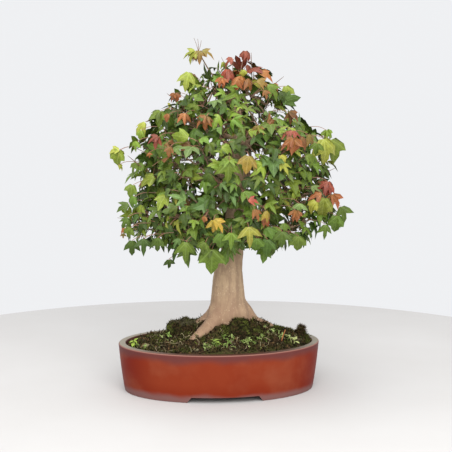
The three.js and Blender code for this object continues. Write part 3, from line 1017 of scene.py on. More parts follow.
@dataclass
class Pot:
    """Oval pot on a cut foot ring, with drainage and wire holes, and the small parts that they hold."""

    length: float = (POT_BOX[1].x - POT_BOX[0].x) / MM
    width: float = (POT_BOX[1].y - POT_BOX[0].y) / MM
    height: float = (POT_BOX[1].z - POT_BOX[0].z) / MM
    wall: float = 10
    taper: float = 8
    belly: float = 0.8
    underside: float = 7.5
    floor_top: float = 16
    foot_band: float = 9
    rim_round: float = 2.2
    foot_round: float = 1.0
    notch_top: float = 45
    notch_foot: float = 51
    drain_x: float = 52
    drain_radius: float = 10
    wire_x: float = 84
    wire_y: float = 30
    wire_radius: float = 3.2
    segments: int = 144
    floor_ring: float = 20
    inner_corner: float = 7
    inner_rim_round: float = 1.5

    def half_width(self, z: float) -> float:
        """Half-width of the outer wall at a height."""
        share = z / self.height
        return self.width / 2 - self.taper * (1 - share) + self.belly * math.sin(math.pi * share)

    @property
    def stretch(self) -> float:
        """How much longer than wide the oval is, on each side."""
        return (self.length - self.width) / 2

    def rings(self) -> list[Ring]:
        """The pot's section, from under the floor, round the foot, up the wall and down inside."""
        foot = self.half_width(0)
        top = self.half_width(self.height)
        band = foot - self.foot_band
        rim = self.height - self.rim_round
        outer_rise = [self.height * i / 16 for i in range(1, 16)]
        outer = [(self.half_width(z), z) for z in outer_rise if self.foot_round < z < rim]
        inner_rise = [self.floor_top + 10 + 6 * i for i in range(6, -1, -1)]
        inner = [(self.half_width(z) - self.wall, z) for z in inner_rise if z < self.height - 3]
        bend = self.inner_corner
        lip = self.inner_rim_round
        corner = (self.half_width(self.floor_top) - self.wall - bend, self.floor_top + bend)
        return [
            (self.floor_ring, self.underside),
            (band - 2, self.underside),
            (band - 0.6, self.underside - 1),
            (band, self.foot_round),
            *rounding((band + self.foot_round, self.foot_round), self.foot_round, 180, 270),
            *rounding((foot - self.foot_round, self.foot_round), self.foot_round, -90, 0),
            *outer,
            *rounding((top - self.rim_round, rim), self.rim_round, 0, 90, 5),
            *rounding((top - self.wall + lip, self.height - lip), lip, 90, 180),
            *inner,
            *rounding(corner, bend, 0, -90, 5),
            (self.floor_ring, self.floor_top),
        ]

    def cut_notch(self, pot: Piece) -> None:
        """Parts the foot ring into two feet, front and back at once."""
        bpy.ops.object.select_all(action="DESELECT")
        bpy.ops.mesh.primitive_cube_add(size=1)
        cutter = bpy.context.active_object
        drop, overrun = 4, 20
        start_edit(cutter)
        full = (2 * self.notch_foot, self.width + 2 * overrun, self.underside + drop)
        bpy.ops.transform.resize(value=full, center_override=(0, 0, 0))
        bpy.ops.transform.translate(value=(0, 0, (self.underside - drop) / 2))
        end_edit()
        lean = (self.notch_foot - self.notch_top) / self.underside

        def slope(point: Vector) -> Vector:
            """Leans the notch's ends in towards its top."""
            reach = self.notch_foot - lean * point.z
            return Vector((math.copysign(reach, point.x), point.y, point.z))

        shape_points(cutter, slope)
        cut_away(pot, cutter)

    def cut_hole(self, pot: Piece, x: float, y: float, radius: float) -> None:
        """Drills a round hole through the floor."""
        bpy.ops.object.select_all(action="DESELECT")
        bpy.ops.mesh.primitive_cylinder_add(vertices=32, radius=radius, depth=40, location=(x, y, 10))
        cut_away(pot, bpy.context.active_object)

    def build_body(self) -> None:
        """The pot itself."""
        pot = turn_oval("pot_body", self.rings(), self.stretch, self.segments)
        self.cut_notch(pot)
        for side in (-1, 1):
            self.cut_hole(pot, side * self.drain_x, 0, self.drain_radius)
            for depth in (-1, 1):
                self.cut_hole(pot, side * self.wire_x, depth * self.wire_y, self.wire_radius)
        set_in_frame(pot)
        soften(pot, 32)
        hand_over(pot, Slot.STONEWARE, StonewareFinish().make(), "pot")

    def dress_fittings(self) -> None:
        """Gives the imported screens, clips and tie wires their finishes."""
        plastic = PlainFinish("black_screen", (0.012, 0.013, 0.015), (0.03, 0.031, 0.033), 0.55).make()
        wire = PlainFinish("tie_wire", (0.40, 0.39, 0.38), (0.27, 0.25, 0.24), 0.42, 1.0).make()
        for side in ("left", "right"):
            for name, material in (("drain_screen", plastic), ("screen_clip", wire), ("tie_wire", wire)):
                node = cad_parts[f"{name}_{side}"]
                node.data.materials.clear()
                node.data.materials.append(material)

    def build(self) -> None:
        """Body and fittings in order."""
        self.build_body()
        self.dress_fittings()


# ---------------------------------------------------------------- soil, moss and what grows on it
SOIL_EDGE = 61  # the soil's height at the pot's wall
SOIL_RISE = 42  # how far it is mounded up at the trunk
SOIL_REACH = 55  # how far out the mound runs, front and back
SOIL_STRETCH = 1.5  # how much farther it runs sideways
TRUNK_X = 12


def soil_height(x: float, y: float) -> float:
    """Height of the soil over a point of the pot, mounded up to the trunk."""
    out = math.hypot((x - TRUNK_X) / SOIL_STRETCH, y)
    return SOIL_EDGE + SOIL_RISE * math.exp(-((out / SOIL_REACH) ** 2))


def lumps(x: float, y: float, z: float, wave: float, seed: float = 0) -> float:
    """Soft lumps from -1 to 1 whose size is given in millimetres."""
    return noise.noise(Vector((x / wave + seed, y / wave - seed, z / wave)))


def cut_tuft() -> Pattern:
    """A moss shoot: a cone whose point is drawn to one side."""
    bpy.ops.object.select_all(action="DESELECT")
    bpy.ops.mesh.primitive_cone_add(vertices=4, radius1=0.17, radius2=0.03, depth=1, location=(0, 0, 0.5))
    tuft = bpy.context.active_object
    start_edit(tuft)
    bpy.ops.mesh.bisect(plane_co=(0, 0, 0.5), plane_no=(0, 0, 1), use_fill=False)
    end_edit()
    droop = 0.3
    shape_points(tuft, lambda p: Vector((p.x + droop * (p.z + 0.5) ** 2, p.y, p.z + 0.5)))
    points = np.array([v.co for v in tuft.data.vertices], float)
    pattern = pattern_of(tuft, 1)
    pattern.outward = np.clip(points[:, 2], 0, 1)
    pattern.blade = np.full_like(pattern.blade, NO_VEINS)
    return pattern


def cut_crumb() -> Pattern:
    """A crumb of soil: a little ball with pushed-in sides."""
    bpy.ops.object.select_all(action="DESELECT")
    bpy.ops.mesh.primitive_ico_sphere_add(subdivisions=1, radius=1)
    crumb = bpy.context.active_object
    shape_points(crumb, lambda p: p * (1 + 0.3 * lumps(p.x, p.y, p.z, 0.7)))
    pattern = pattern_of(crumb, 1)
    pattern.outward = np.random.default_rng(5).random(len(pattern.points))
    return pattern


def cut_leaflet() -> Pattern:
    """A seedling's leaflet: an oval blade, cupped and pointed."""
    bpy.ops.object.select_all(action="DESELECT")
    bpy.ops.mesh.primitive_uv_sphere_add(segments=8, ring_count=5, radius=0.5, location=(0, 0.5, 0))
    leaflet = bpy.context.active_object
    set_local(leaflet)

    def flatten(point: Vector) -> Vector:
        """Presses the ball to a blade with a narrow foot and tip."""
        ahead = min(max(point.y, 0), 1)
        across = point.x * (0.62 * math.sin(math.pi * ahead) ** 0.8)
        arch = 0.35 * (ahead - 0.35) ** 2
        return Vector((across, ahead, point.z * 0.07 - arch + 0.5 * across ** 2))

    shape_points(leaflet, flatten)
    return pattern_of(leaflet, 1)


@dataclass
class Mound:
    """A cushion of moss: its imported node, middle and half-sizes, and how long and how many its shoots are."""

    node: str
    middle: Triple
    half: Triple
    tuft_length: float = 4.2
    tufts: int = 900


@dataclass(frozen=True)
class Seedling:
    """A seedling's kind: its stem's height, its leaflets' length and number, and its colour."""

    height: float
    leaf: float
    leaves: int
    colour: Colour


@dataclass(frozen=True)
class Sprigs:
    """A cluster of small sprigs on the soil: its middle, spread and number."""

    x: float
    y: float
    spread: float
    count: int


@dataclass
class Bed:
    """The mounded soil, its moss cushions, crumbs, stalks and seedlings."""

    pot: Pot
    gap: float = 0.3
    bottom: float = 18.5
    crumb_count: int = 2200
    carpet_count: int = 9500
    stalk_count: int = 260
    mounds: tuple[Mound, ...] = (
        Mound("moss_mound_front", (28, -36, 76), (29, 16, 25), 3.4, 1300),
        Mound("moss_mound_left", (-47, 1, 74), (28, 25, 23.5), 3.4, 1100),
        Mound("moss_mound_back", (2, 44, 72), (35, 16, 21)),
        Mound("moss_slope_right", (78, -8, 68), (25, 29, 16)),
        Mound("moss_tuft_right", (117, 8, 66), (6, 8, 15), 5.5, 260),
    )
    packed_seedlings: tuple[tuple[str, Span, Seedling], ...] = (
        ("seedling_left", (-119, -24), Seedling(12, 8.5, 6, (0.28, 0.38, 0.06))),
        ("seedling_front", (-12, -64), Seedling(12, 9, 7, (0.33, 0.45, 0.09))),
        ("seedling_right", (94, -46), Seedling(10, 12, 3, (0.48, 0.52, 0.20))),
    )
    clusters: tuple[Sprigs, ...] = (
        Sprigs(-14, -60, 8, 12), Sprigs(6, -60, 12, 9), Sprigs(4, -50, 10, 8), Sprigs(30, -58, 12, 8),
        Sprigs(52, -44, 14, 10), Sprigs(84, -36, 14, 9), Sprigs(40, -66, 16, 5), Sprigs(-112, -22, 12, 5),
        Sprigs(-70, -18, 12, 5), Sprigs(60, 20, 30, 8), Sprigs(-40, 40, 26, 8), Sprigs(10, 62, 20, 6),
        Sprigs(-30, -62, 14, 3), Sprigs(70, -26, 10, 6),
    )
    dark: Colour = (0.012, 0.010, 0.004)
    brown: Colour = (0.110, 0.066, 0.028)
    green: Colour = (0.078, 0.088, 0.017)
    bright: Colour = (0.21, 0.25, 0.045)
    straw: Colour = (0.36, 0.30, 0.17)
    grey: Colour = (0.165, 0.145, 0.080)
    red_stem: tuple[Triple, ...] = ((80, -42, 68), (82, -44, 78), (86, -43, 88))
    sprig_tones: tuple[Colour, Colour] = ((0.16, 0.25, 0.05), (0.40, 0.48, 0.17))

    def inside(self, x: float, y: float, margin: float) -> bool:
        """Whether a point is over the soil, a margin in from the wall."""
        reach = self.pot.half_width(60) - self.pot.wall - margin
        return (x / (reach + self.pot.stretch)) ** 2 + (y / reach) ** 2 < 1

    def surface(self, x: float, y: float) -> float:
        """The soil's height with its lumps and a soft fall to the wall."""
        rough = 4.2 * lumps(x, y, 0, 17) + 3.4 * lumps(x, y, 0, 7.5, 3) + 1.8 * lumps(x, y, 0, 3.5, 7)
        return soil_height(x, y) + rough

    def build_soil(self) -> None:
        """The soil as one closed body that fills the pot up to its lumpy top."""
        edge = self.pot.half_width(60) - self.pot.wall - self.gap
        low = self.pot.half_width(self.bottom) - self.pot.wall - self.gap
        top = 60
        base = self.bottom
        rings = [(4, base), (low - 9, base), (low - 4, base + 3), (low - 0.3, base + 9)]
        rings += [(edge - (top - z) * 0.13, z) for z in (36, 46, 56)]
        rings += [(edge - step, top) for step in (0.4, 1.2)]
        rings += [(edge - 2.4 - 1.55 * i, top) for i in range(50)]
        soil = turn_oval("soil_bed", rings, self.pot.stretch, 220)

        def heap(point: Vector) -> Vector:
            """Raises the flat top to the soil's height and lets it sink a little at the wall."""
            if point.z < top - 1:
                return point
            reach = math.hypot(point.x / (edge + self.pot.stretch), point.y / edge)
            sink = 3.0 * ease((reach - 0.93) / 0.07)
            return Vector((point.x, point.y, self.surface(point.x, point.y) - sink))

        shape_points(soil, heap)
        set_in_frame(soil)
        soften(soil, 60)
        hand_over(soil, Slot.SOIL, EarthFinish().make(), "soil")

    def tint_at(self, x: float, y: float, z: float, dice: random.Random) -> tuple[Colour, Colour]:
        """Foot and tip colours of a moss shoot, by patches."""
        share = lumps(x, y, z, 16, 11) + 0.6 * lumps(x, y, z, 6, 5) + dice.uniform(-0.35, 0.35)
        if share > 0.42:
            tip = self.bright if dice.random() < 0.45 else self.green
        elif share > -0.12:
            tip = self.green if dice.random() < 0.55 else self.dark
        else:
            tip = self.brown if dice.random() < 0.5 else self.dark
        if x < -30 and z > 92 and dice.random() < 0.6:
            tip = self.grey
        if x > 108 and z > 74 and dice.random() < 0.5:
            tip = self.brown
        return self.dark, dimmed(tip, dice.uniform(0.7, 1.4))

    def plant_tuft(
        self, growth: Growth, tuft: Pattern, place: Vector, lean: Vector, length: float, dice: random.Random,
    ) -> None:
        """Sets one moss shoot at a place, leaning along a direction."""
        turn = lean.to_track_quat("Z", "Y").to_matrix().to_4x4()
        spin = Matrix.Rotation(dice.uniform(0, FULL_TURN), 4, "Z")
        scale = Matrix.Diagonal((length * 0.75, length * 0.75, length, 1))
        foot, tip = self.tint_at(*place, dice)
        growth.add(tuft, Matrix.Translation(place) @ turn @ spin @ scale, foot, tip)

    def build_mound(self, mound: Mound, tuft: Pattern, material: Material) -> None:
        """A lumpy cushion with shoots all over it."""
        dice = random.Random(mound.node)
        bpy.ops.object.select_all(action="DESELECT")
        bpy.ops.mesh.primitive_ico_sphere_add(subdivisions=5, radius=1)
        cushion = bpy.context.active_object
        middle = Vector(mound.middle)

        def swell(point: Vector) -> Vector:
            """Stretches the ball to the cushion and makes it lumpy."""
            place = middle + Vector(p * h for p, h in zip(point, mound.half))
            push = 0.22 * lumps(*place, 12, 2) + 0.12 * lumps(*place, 5, 9)
            return place + (place - middle) * push

        shape_points(cushion, swell)
        start_edit(cushion)
        floor = soil_height(mound.middle[0], mound.middle[1]) - 16
        bpy.ops.mesh.bisect(plane_co=(0, 0, floor), plane_no=(0, 0, 1), use_fill=True, clear_inner=True)
        end_edit()
        growth = Growth()
        mesh = cushion.data
        upper = [p for p in mesh.polygons if p.center.z > self.surface(p.center.x, p.center.y) - 2]
        for _ in range(mound.tufts):
            face = upper[dice.randrange(len(upper))]
            lean = face.normal * 0.8 + UP * 0.35 + jitter(dice, 0.5)
            length = mound.tuft_length * dice.uniform(0.5, 1.15)
            self.plant_tuft(growth, tuft, face.center - face.normal * 0.6, lean, length, dice)
        tufts = growth.build(f"tufts_{mound.node}", 40)
        tint = mesh.color_attributes.new(name="tint", type="FLOAT_COLOR", domain="POINT")
        for vertex, entry in zip(mesh.vertices, tint.data):
            foot, tip = self.tint_at(*vertex.co, dice)
            entry.color = (*mixed(foot, tip, 0.4), 1)
        set_in_frame(cushion)
        cushion.name = f"cushion_{mound.node}"
        soften(cushion, 60)
        hand_over(cushion, Slot.MOSS, material, mound.node)
        hand_over(tufts, Slot.MOSS, material)

    def scatter_spots(self, count: int, margin: float, dice: random.Random) -> list[Vector]:
        """Places spread evenly over the soil's top, a margin in from the wall."""
        spots = []
        half_length, half_width = 132, 84
        while len(spots) < count:
            x, y = dice.uniform(-half_length, half_length), dice.uniform(-half_width, half_width)
            if self.inside(x, y, margin):
                spots.append(Vector((x, y, self.surface(x, y))))
        return spots

    def build_carpet(self, tuft: Pattern, material: Material) -> None:
        """Low moss in patches between the cushions."""
        dice = random.Random(21)
        growth = Growth()
        for place in self.scatter_spots(self.carpet_count, 2.5, dice):
            if lumps(place.x, place.y, 0, 22, 4) + dice.uniform(-0.3, 0.5) < 0:
                continue
            lean = UP * 0.8 + Vector((dice.uniform(-1, 1), dice.uniform(-1, 1), 0))
            self.plant_tuft(growth, tuft, place - UP * 0.8, lean, dice.uniform(2.4, 6.5), dice)
        hand_over(growth.build("moss_carpet", 40), Slot.MOSS, material)

    def build_crumbs(self, material: Material) -> None:
        """Loose crumbs and bits of bark on the soil."""
        dice = random.Random(8)
        crumb = cut_crumb()
        growth = Growth()
        for place in self.scatter_spots(self.crumb_count, 3, dice):
            size = dice.uniform(0.6, 1.4) * (1 + 1.6 * dice.random() ** 3)
            turn = Matrix.Rotation(dice.uniform(0, 6), 4, jitter(dice, 1))
            scale = Matrix.Diagonal((size, size * dice.uniform(0.6, 1), size * dice.uniform(0.5, 0.9), 1))
            shade = dice.uniform(0.3, 1.9)
            tone = dice.choice((self.brown, self.brown, self.dark, self.grey))
            growth.add(crumb, Matrix.Translation(place) @ turn @ scale, dimmed(tone, shade), self.dark)
        hand_over(growth.build("soil_crumbs", 40), Slot.SOIL, material)

    def build_stalks(self, material: Material) -> None:
        """Dry stalks and fine dead roots that lie over the moss, and one red stem at the right."""
        dice = random.Random(33)
        growth = Growth()
        for place in self.scatter_spots(self.stalk_count, 9, dice):
            ahead = compass(dice.uniform(0, FULL_TURN))
            reach = dice.uniform(3, 13)
            path = []
            for share in (0, 0.35, 0.7, 1):
                bend = Vector((-ahead.y, ahead.x, 0)) * dice.uniform(-0.22, 0.22) * reach
                point = place + ahead * reach * (share - 0.5) + bend
                rise = 1.0 + 2.6 * math.sin(math.pi * share) * dice.uniform(-0.3, 1)
                path.append(Vector((point.x, point.y, self.surface(point.x, point.y) + rise)))
            pale = dimmed(self.straw, dice.uniform(0.35, 1.3))
            line = smooth_path(path, 3)
            growth.add_tube(line, [dice.uniform(0.22, 0.42)] * len(line), 4, pale)
        stem = smooth_path([Vector(place) for place in self.red_stem], 3)
        growth.add_tube(stem, [0.9, 0.9, 0.8, 0.8, 0.7, 0.6, 0.5], 5, (0.3, 0.09, 0.03), (0.42, 0.16, 0.06))
        hand_over(growth.build("dry_stalks", 60), Slot.SEEDLING, material)

    def plant_seedling(
        self, growth: Growth, leaflet: Pattern, foot: Vector, kind: Seedling, dice: random.Random,
    ) -> None:
        """One seedling: a thin stem with leaflets spread round its top.

        Args:
            growth: Where it is collected.
            leaflet: The shape of its leaflets.
            foot: Where it stands.
            kind: Its size, leaflets and colour.
            dice: The source of its small differences.
        """
        lean = Vector((dice.uniform(-0.25, 0.25), dice.uniform(-0.25, 0.25), 1)) * kind.height
        path = smooth_path([foot, foot + lean * 0.5 + Vector((0.6, 0, 0)), foot + lean], 2)
        growth.add_tube(path, [0.55] * len(path), 4, kind.colour)
        start = dice.uniform(0, 6.28)
        for k in range(kind.leaves):
            turn = Matrix.Rotation(start + FULL_TURN * k / kind.leaves + dice.uniform(-0.3, 0.3), 4, "Z")
            rise = Matrix.Rotation(dice.uniform(-0.5, 0.9), 4, "X")
            size = kind.leaf * dice.uniform(0.7, 1.15)
            drop = UP * (-kind.height * 0.12 * (k % 3))
            tint = dimmed(kind.colour, dice.uniform(0.8, 1.2))
            place = Matrix.Translation(foot + lean + drop) @ turn @ rise @ Matrix.Scale(size, 4)
            growth.add(leaflet, place, tint, tint)

    def build_seedlings(self, material: Material) -> None:
        """The three packed seedlings and the small sprigs round them."""
        dice = random.Random(12)
        leaflet = cut_leaflet()
        for node, (x, y), kind in self.packed_seedlings:
            growth = Growth()
            foot = Vector((x, y, self.surface(x, y) - 1))
            self.plant_seedling(growth, leaflet, foot, kind, dice)
            small = Seedling(kind.height * 0.5, kind.leaf * 0.7, 4, kind.colour)
            self.plant_seedling(growth, leaflet, foot + Vector((3.5, 1.5, -0.5)), small, dice)
            hand_over(growth.build(f"{node}_plant", 50), Slot.SEEDLING, material, node)
        growth = Growth()
        for cluster in self.clusters:
            for _ in range(cluster.count):
                x = cluster.x + dice.gauss(0, cluster.spread * 0.5)
                y = cluster.y + dice.gauss(0, cluster.spread * 0.35)
                if not self.inside(x, y, 8):
                    continue
                foot = Vector((x, y, self.surface(x, y) - 0.8))
                colour = mixed(*self.sprig_tones, dice.random())
                kind = Seedling(dice.uniform(1.5, 6), dice.uniform(2.5, 6), dice.choice((3, 4, 5)), colour)
                self.plant_seedling(growth, leaflet, foot, kind, dice)
        hand_over(growth.build("soil_sprigs", 50), Slot.SEEDLING, material)

    def build(self) -> None:
        """Soil first, then what lies and grows on it."""
        self.build_soil()
        tuft = cut_tuft()
        moss = TintedFinish("shaggy_moss", 0.9, 0.3, Grain(1400, 0.5, 0.5, 0.0006)).make()
        crumbs = TintedFinish("bark_crumbs", 0.95, 0.35, Grain(900, 0.5, 0.5, 0.0008)).make()
        herb = TintedFinish("seedling_leaf", 0.55, 0.18, Grain(700, 0.5, 0.5, 0.0003)).make()
        for mound in self.mounds:
            self.build_mound(mound, tuft, moss)
        self.build_carpet(tuft, moss)
        self.build_crumbs(crumbs)
        self.build_stalks(herb)
        self.build_seedlings(herb)


# ---------------------------------------------------------------- trunk and branches
@dataclass
class Root:
    """A surface root: its angle from +X, how far it runs, its girth, its swing and its lift off the soil."""

    angle: float
    length: float
    girth: float
    swing: float
    lift: float = 0


def pull_limb(path: Sequence[Vector], radii: Sequence[float], sides: int) -> Piece:
    """Pulls a round limb from station to station, its rings square to its first stretch.

    Args:
        path: The middles of its rings.
        radii: Their radii.
        sides: How many sides it has.

    Returns:
        The closed limb.
    """
    bpy.ops.object.select_all(action="DESELECT")
    ahead = (path[1] - path[0]).normalized()
    turn = ahead.to_track_quat("Z", "Y").to_euler()
    bpy.ops.mesh.primitive_circle_add(
        vertices=sides, radius=radii[0], fill_type="NGON", location=path[0], rotation=turn,
    )
    limb = bpy.context.active_object
    set_local(limb)
    start_edit(limb)
    for i in range(1, len(path)):
        bpy.ops.mesh.extrude_region_move(TRANSFORM_OT_translate={"value": path[i] - path[i - 1]})
        grow = radii[i] / radii[i - 1]
        bpy.ops.transform.resize(value=(grow, grow, grow), center_override=path[i])
    end_closed()
    return limb


@dataclass
class Trunk:
    """The trunk with its spreading surface roots and a dark pruning stub.

    root_starts are the reach, height and share of the girth of each root's stations on the trunk, and
    root_runs the share of the length and of the girth of its stations on the soil.
    """

    line: tuple[Triple, ...] = (
        (13, 0, 54), (14, 0, 100), (12, -1, 122), (11.5, -2, 150), (13.6, -1, 172), (18.5, 0, 198),
        (22, 2, 235), (25, 3, 270), (27, 0, 340), (22, 2, 400), (17, 0, 432),
    )
    radii: tuple[float, ...] = (35, 29.5, 24.5, 21.5, 18.6, 15.3, 13.6, 12.5, 9.5, 6, 3)
    roots: tuple[Root, ...] = (
        Root(180, 70, 10, 2, -1), Root(206, 42, 14, 2, -3), Root(222, 63, 12.5, -5, 3),
        Root(268, 42, 10, 5), Root(318, 44, 11, -4), Root(356, 54, 12, 3, 1),
        Root(42, 50, 10, -6), Root(92, 46, 11, 5), Root(140, 52, 10, -4),
    )
    root_starts: tuple[Triple, ...] = ((3, 150, 0.62), (9, 128, 0.85), (18, 111, 1.0))
    root_runs: tuple[Span, ...] = ((0.52, 0.95), (0.74, 0.8), (0.92, 0.62), (1.08, 0.42))
    voxel: float = 1.25
    stub_z: float = 322
    stub_tip: Triple = (29, -42, 330)
    stub_radius: float = 6

    def middle_at(self, z: float) -> Vector:
        """The trunk line at a height."""
        for (x0, y0, z0), (x1, y1, z1) in zip(self.line, self.line[1:]):
            if z <= z1:
                share = max(0, (z - z0) / (z1 - z0))
                return Vector((x0 + (x1 - x0) * share, y0 + (y1 - y0) * share, z))
        return Vector(self.line[-1])

    def pull_root(self, root: Root) -> Piece:
        """A root: down the trunk's side, out over the soil and into it.

        Args:
            root: Its angle, reach and girth.

        Returns:
            The closed root.
        """
        out = compass(math.radians(root.angle))
        side = Vector((-out.y, out.x, 0))
        start = self.middle_at(100)
        runs = [(share * root.length, None, girth) for share, girth in self.root_runs]
        stations = [*self.root_starts, *runs]
        path, radii = [], []
        for reach, z, girth in stations:
            swing = side * root.swing * (reach / root.length) ** 2
            ground = soil_height(start.x + out.x * reach, start.y + out.y * reach)
            lie = ground + root.lift - root.girth * girth * 0.4 + 4 * (1 - reach / root.length)
            path.append(Vector((start.x, start.y, 0)) + out * reach + swing + UP * (z or lie))
            radii.append(root.girth * girth)
        path = smooth_path(path, 3)
        radii = list(np.interp(np.linspace(0, 1, len(path)), np.linspace(0, 1, len(radii)), radii))
        return pull_limb(path, radii, 12)

    def build(self) -> None:
        """Trunk, roots and stub as one skin."""
        points = smooth_path([Vector(p) for p in self.line], 4)
        radii = list(np.interp([p.z for p in points], [p[2] for p in self.line], self.radii))
        parts = [pull_limb(points, radii, 24)]
        parts += [self.pull_root(root) for root in self.roots]
        foot = self.middle_at(self.stub_z)
        tip = Vector(self.stub_tip)
        stub = smooth_path([foot, (foot + tip) / 2 + UP * 3, tip], 3)
        parts.append(pull_limb(stub, fade(self.stub_radius * 0.8, self.stub_radius, len(stub)), 12))
        trunk = weld(parts)
        trunk.name = "trunk_skin"
        carve(trunk, "REMESH", mode="VOXEL", voxel_size=self.voxel)
        carve(trunk, "SMOOTH", iterations=14, factor=0.5)

        def weather(point: Vector) -> Vector:
            """Gives the skin its flutes, knobs and shallow girdles."""
            middle = self.middle_at(point.z)
            out = Vector((point.x - middle.x, point.y - middle.y, 0))
            turn = math.atan2(out.y, out.x)
            low = ease((190 - point.z) / 110)
            flutes = 0.9 * low * math.sin(5 * turn + 0.02 * point.z + 1.7 * lumps(0, 0, point.z, 60, 2))
            girdle = 0.28 * lumps(0, turn * 2, point.z, 4.5, 6)
            knobs = 0.9 * lumps(point.x, point.y, point.z * 0.5, 17, 1)
            pimples = 0.35 * lumps(*point, 5, 8)
            over_soil = ease((point.z - 60) / 20)
            under_crown = 0.35 + 0.65 * ease((260 - point.z) / 60)
            push = (flutes + girdle + (knobs + pimples)) * over_soil * under_crown
            return point + (out.normalized() if out.length > 1e-6 else UP) * push

        shape_points(trunk, weather)
        char = trunk.data.attributes.new("char", "FLOAT", "POINT")
        for vertex, entry in zip(trunk.data.vertices, char.data):
            entry.value = ease((13 - (vertex.co - tip).length) / 5)
        set_in_frame(trunk)
        soften(trunk, 70)
        hand_over(trunk, Slot.BARK, BarkFinish().make(), "trunk")


# ---------------------------------------------------------------- leaves, shoots and the crown
class Shade(Enum):
    """Blade colours, at the stalk and at the lobes' tips."""

    GREEN = ((0.104, 0.165, 0.019), (0.080, 0.135, 0.013))
    DEEP = ((0.053, 0.091, 0.012), (0.038, 0.070, 0.007))
    SILVERY = ((0.122, 0.190, 0.050), (0.094, 0.157, 0.036))
    FRESH = ((0.164, 0.230, 0.023), (0.127, 0.192, 0.017))
    LIME = ((0.240, 0.274, 0.034), (0.206, 0.216, 0.027))
    YELLOW = ((0.270, 0.215, 0.026), (0.300, 0.190, 0.022))
    AMBER = ((0.165, 0.150, 0.026), (0.225, 0.115, 0.026))
    ORANGE = ((0.225, 0.098, 0.024), (0.250, 0.068, 0.020))
    RED = ((0.190, 0.050, 0.024), (0.208, 0.038, 0.022))
    RUSSET = ((0.140, 0.086, 0.022), (0.180, 0.062, 0.020))


@dataclass(frozen=True)
class Hang:
    """How a blade hangs from its stalk: its arch down, its fold along the midrib and its sideways curl."""

    arch: float
    fold: float
    curl: float


@dataclass(frozen=True)
class Patch:
    """A part of the crown's front where young leaves have turned: middle, reach, colours and their share."""

    x: float
    z: float
    reach: float
    shades: tuple[Shade, ...]
    share: float = 0.8


@dataclass(frozen=True)
class Spray:
    """Leaves that stand out and hang from one shoot's end, each with its tip turned its own way.

    x and z are on the upright plane through the trunk, as looked at from the front.
    """

    x: float
    z: float
    length: float
    shade: Shade
    headings: tuple[float, ...] = (-92,)


@dataclass(frozen=True)
class FanLeaf:
    """A leaf of the leader's fan: its compass angle, length, colours and how steeply it drops."""

    turn: float
    length: float
    shade: Shade
    drop: float


@dataclass(frozen=True)
class BareEnd:
    """A bare twig's end: its place as looked at from the front, its depth and where it heads."""

    x: float
    y: float
    z: float
    heading: float


@dataclass
class Shoot:
    """A leafy shoot's end: where its tip is, where it heads, the way out of the crown, and its leaves."""

    tip: Vector
    heading: Vector
    outward: Vector
    leaves: int
    scale: float


def cut_blade(half_rays: Sequence[Span]) -> Pattern:
    """A three-lobed maple blade, flat: a fan of faces with its foot at the stalk, thin and closed.

    Args:
        half_rays: Turns and reaches of the outline's points, from the middle lobe's tip round one side.

    Returns:
        The blade, as long as 1.
    """
    rays = [(-turn, reach) for turn, reach in reversed(half_rays[1:])] + list(half_rays)
    columns, rows, thickness = len(rays) - 1, 2, 0.012
    bpy.ops.object.select_all(action="DESELECT")
    bpy.ops.mesh.primitive_grid_add(x_subdivisions=columns, y_subdivisions=rows, size=1)
    blade = bpy.context.active_object
    rim = set()

    def fan(point: Vector) -> Vector:
        """Spreads the sheet's columns into rays and its rows into arcs."""
        column = round((point.x + 0.5) * columns)
        row = round((point.y + 0.5) * rows)
        turn, reach = rays[column]
        out = reach * row / rows
        place = Vector((out * math.sin(math.radians(turn)), out * math.cos(math.radians(turn)), 0))
        if row in (0, rows) or column in (0, columns):
            rim.add((round(place.x, 4), round(place.y, 4)))
        return place

    shape_points(blade, fan)
    start_edit(blade)
    bpy.ops.mesh.remove_doubles(threshold=0.0005)
    bpy.ops.mesh.normals_make_consistent(inside=False)
    bpy.ops.mesh.extrude_region_move(TRANSFORM_OT_translate={"value": (0, 0, -thickness)})
    end_edit()

    def close_rim(point: Vector) -> Vector:
        """Brings the under face's rim up to the upper one's."""
        on_rim = (round(point.x, 4), round(point.y, 4)) in rim
        return Vector((point.x, point.y, 0)) if on_rim else point

    shape_points(blade, close_rim)
    start_edit(blade)
    bpy.ops.mesh.remove_doubles(threshold=0.0005)
    bpy.ops.mesh.normals_make_consistent(inside=False)
    end_edit()
    return pattern_of(blade, 0.95)


def hang_blade(flat: Pattern, hang: Hang) -> Pattern:
    """Bends a flat blade the way that a leaf hangs."""
    x, y, z = flat.points.T
    reach = np.maximum(np.hypot(x, y), 1e-6)
    shorter = np.sin(hang.arch * reach) / (hang.arch * reach)
    drop = (1 - np.cos(hang.arch * reach)) / hang.arch
    lift = hang.fold * np.abs(x) + hang.curl * x * y
    points = np.stack([x * shorter, y * shorter, z - drop + lift], 1)
    return Pattern(points, flat.faces, flat.cell, flat.blade, flat.outward)


def basis(ahead: Vector, above: Vector) -> Matrix:
    """A turn that takes +Y along one direction and +Z as near as may be to another."""
    y_axis = ahead.normalized()
    z_axis = (above - y_axis * above.dot(y_axis)).normalized()
    x_axis = y_axis.cross(z_axis)
    return Matrix((x_axis, y_axis, z_axis)).transposed().to_4x4()


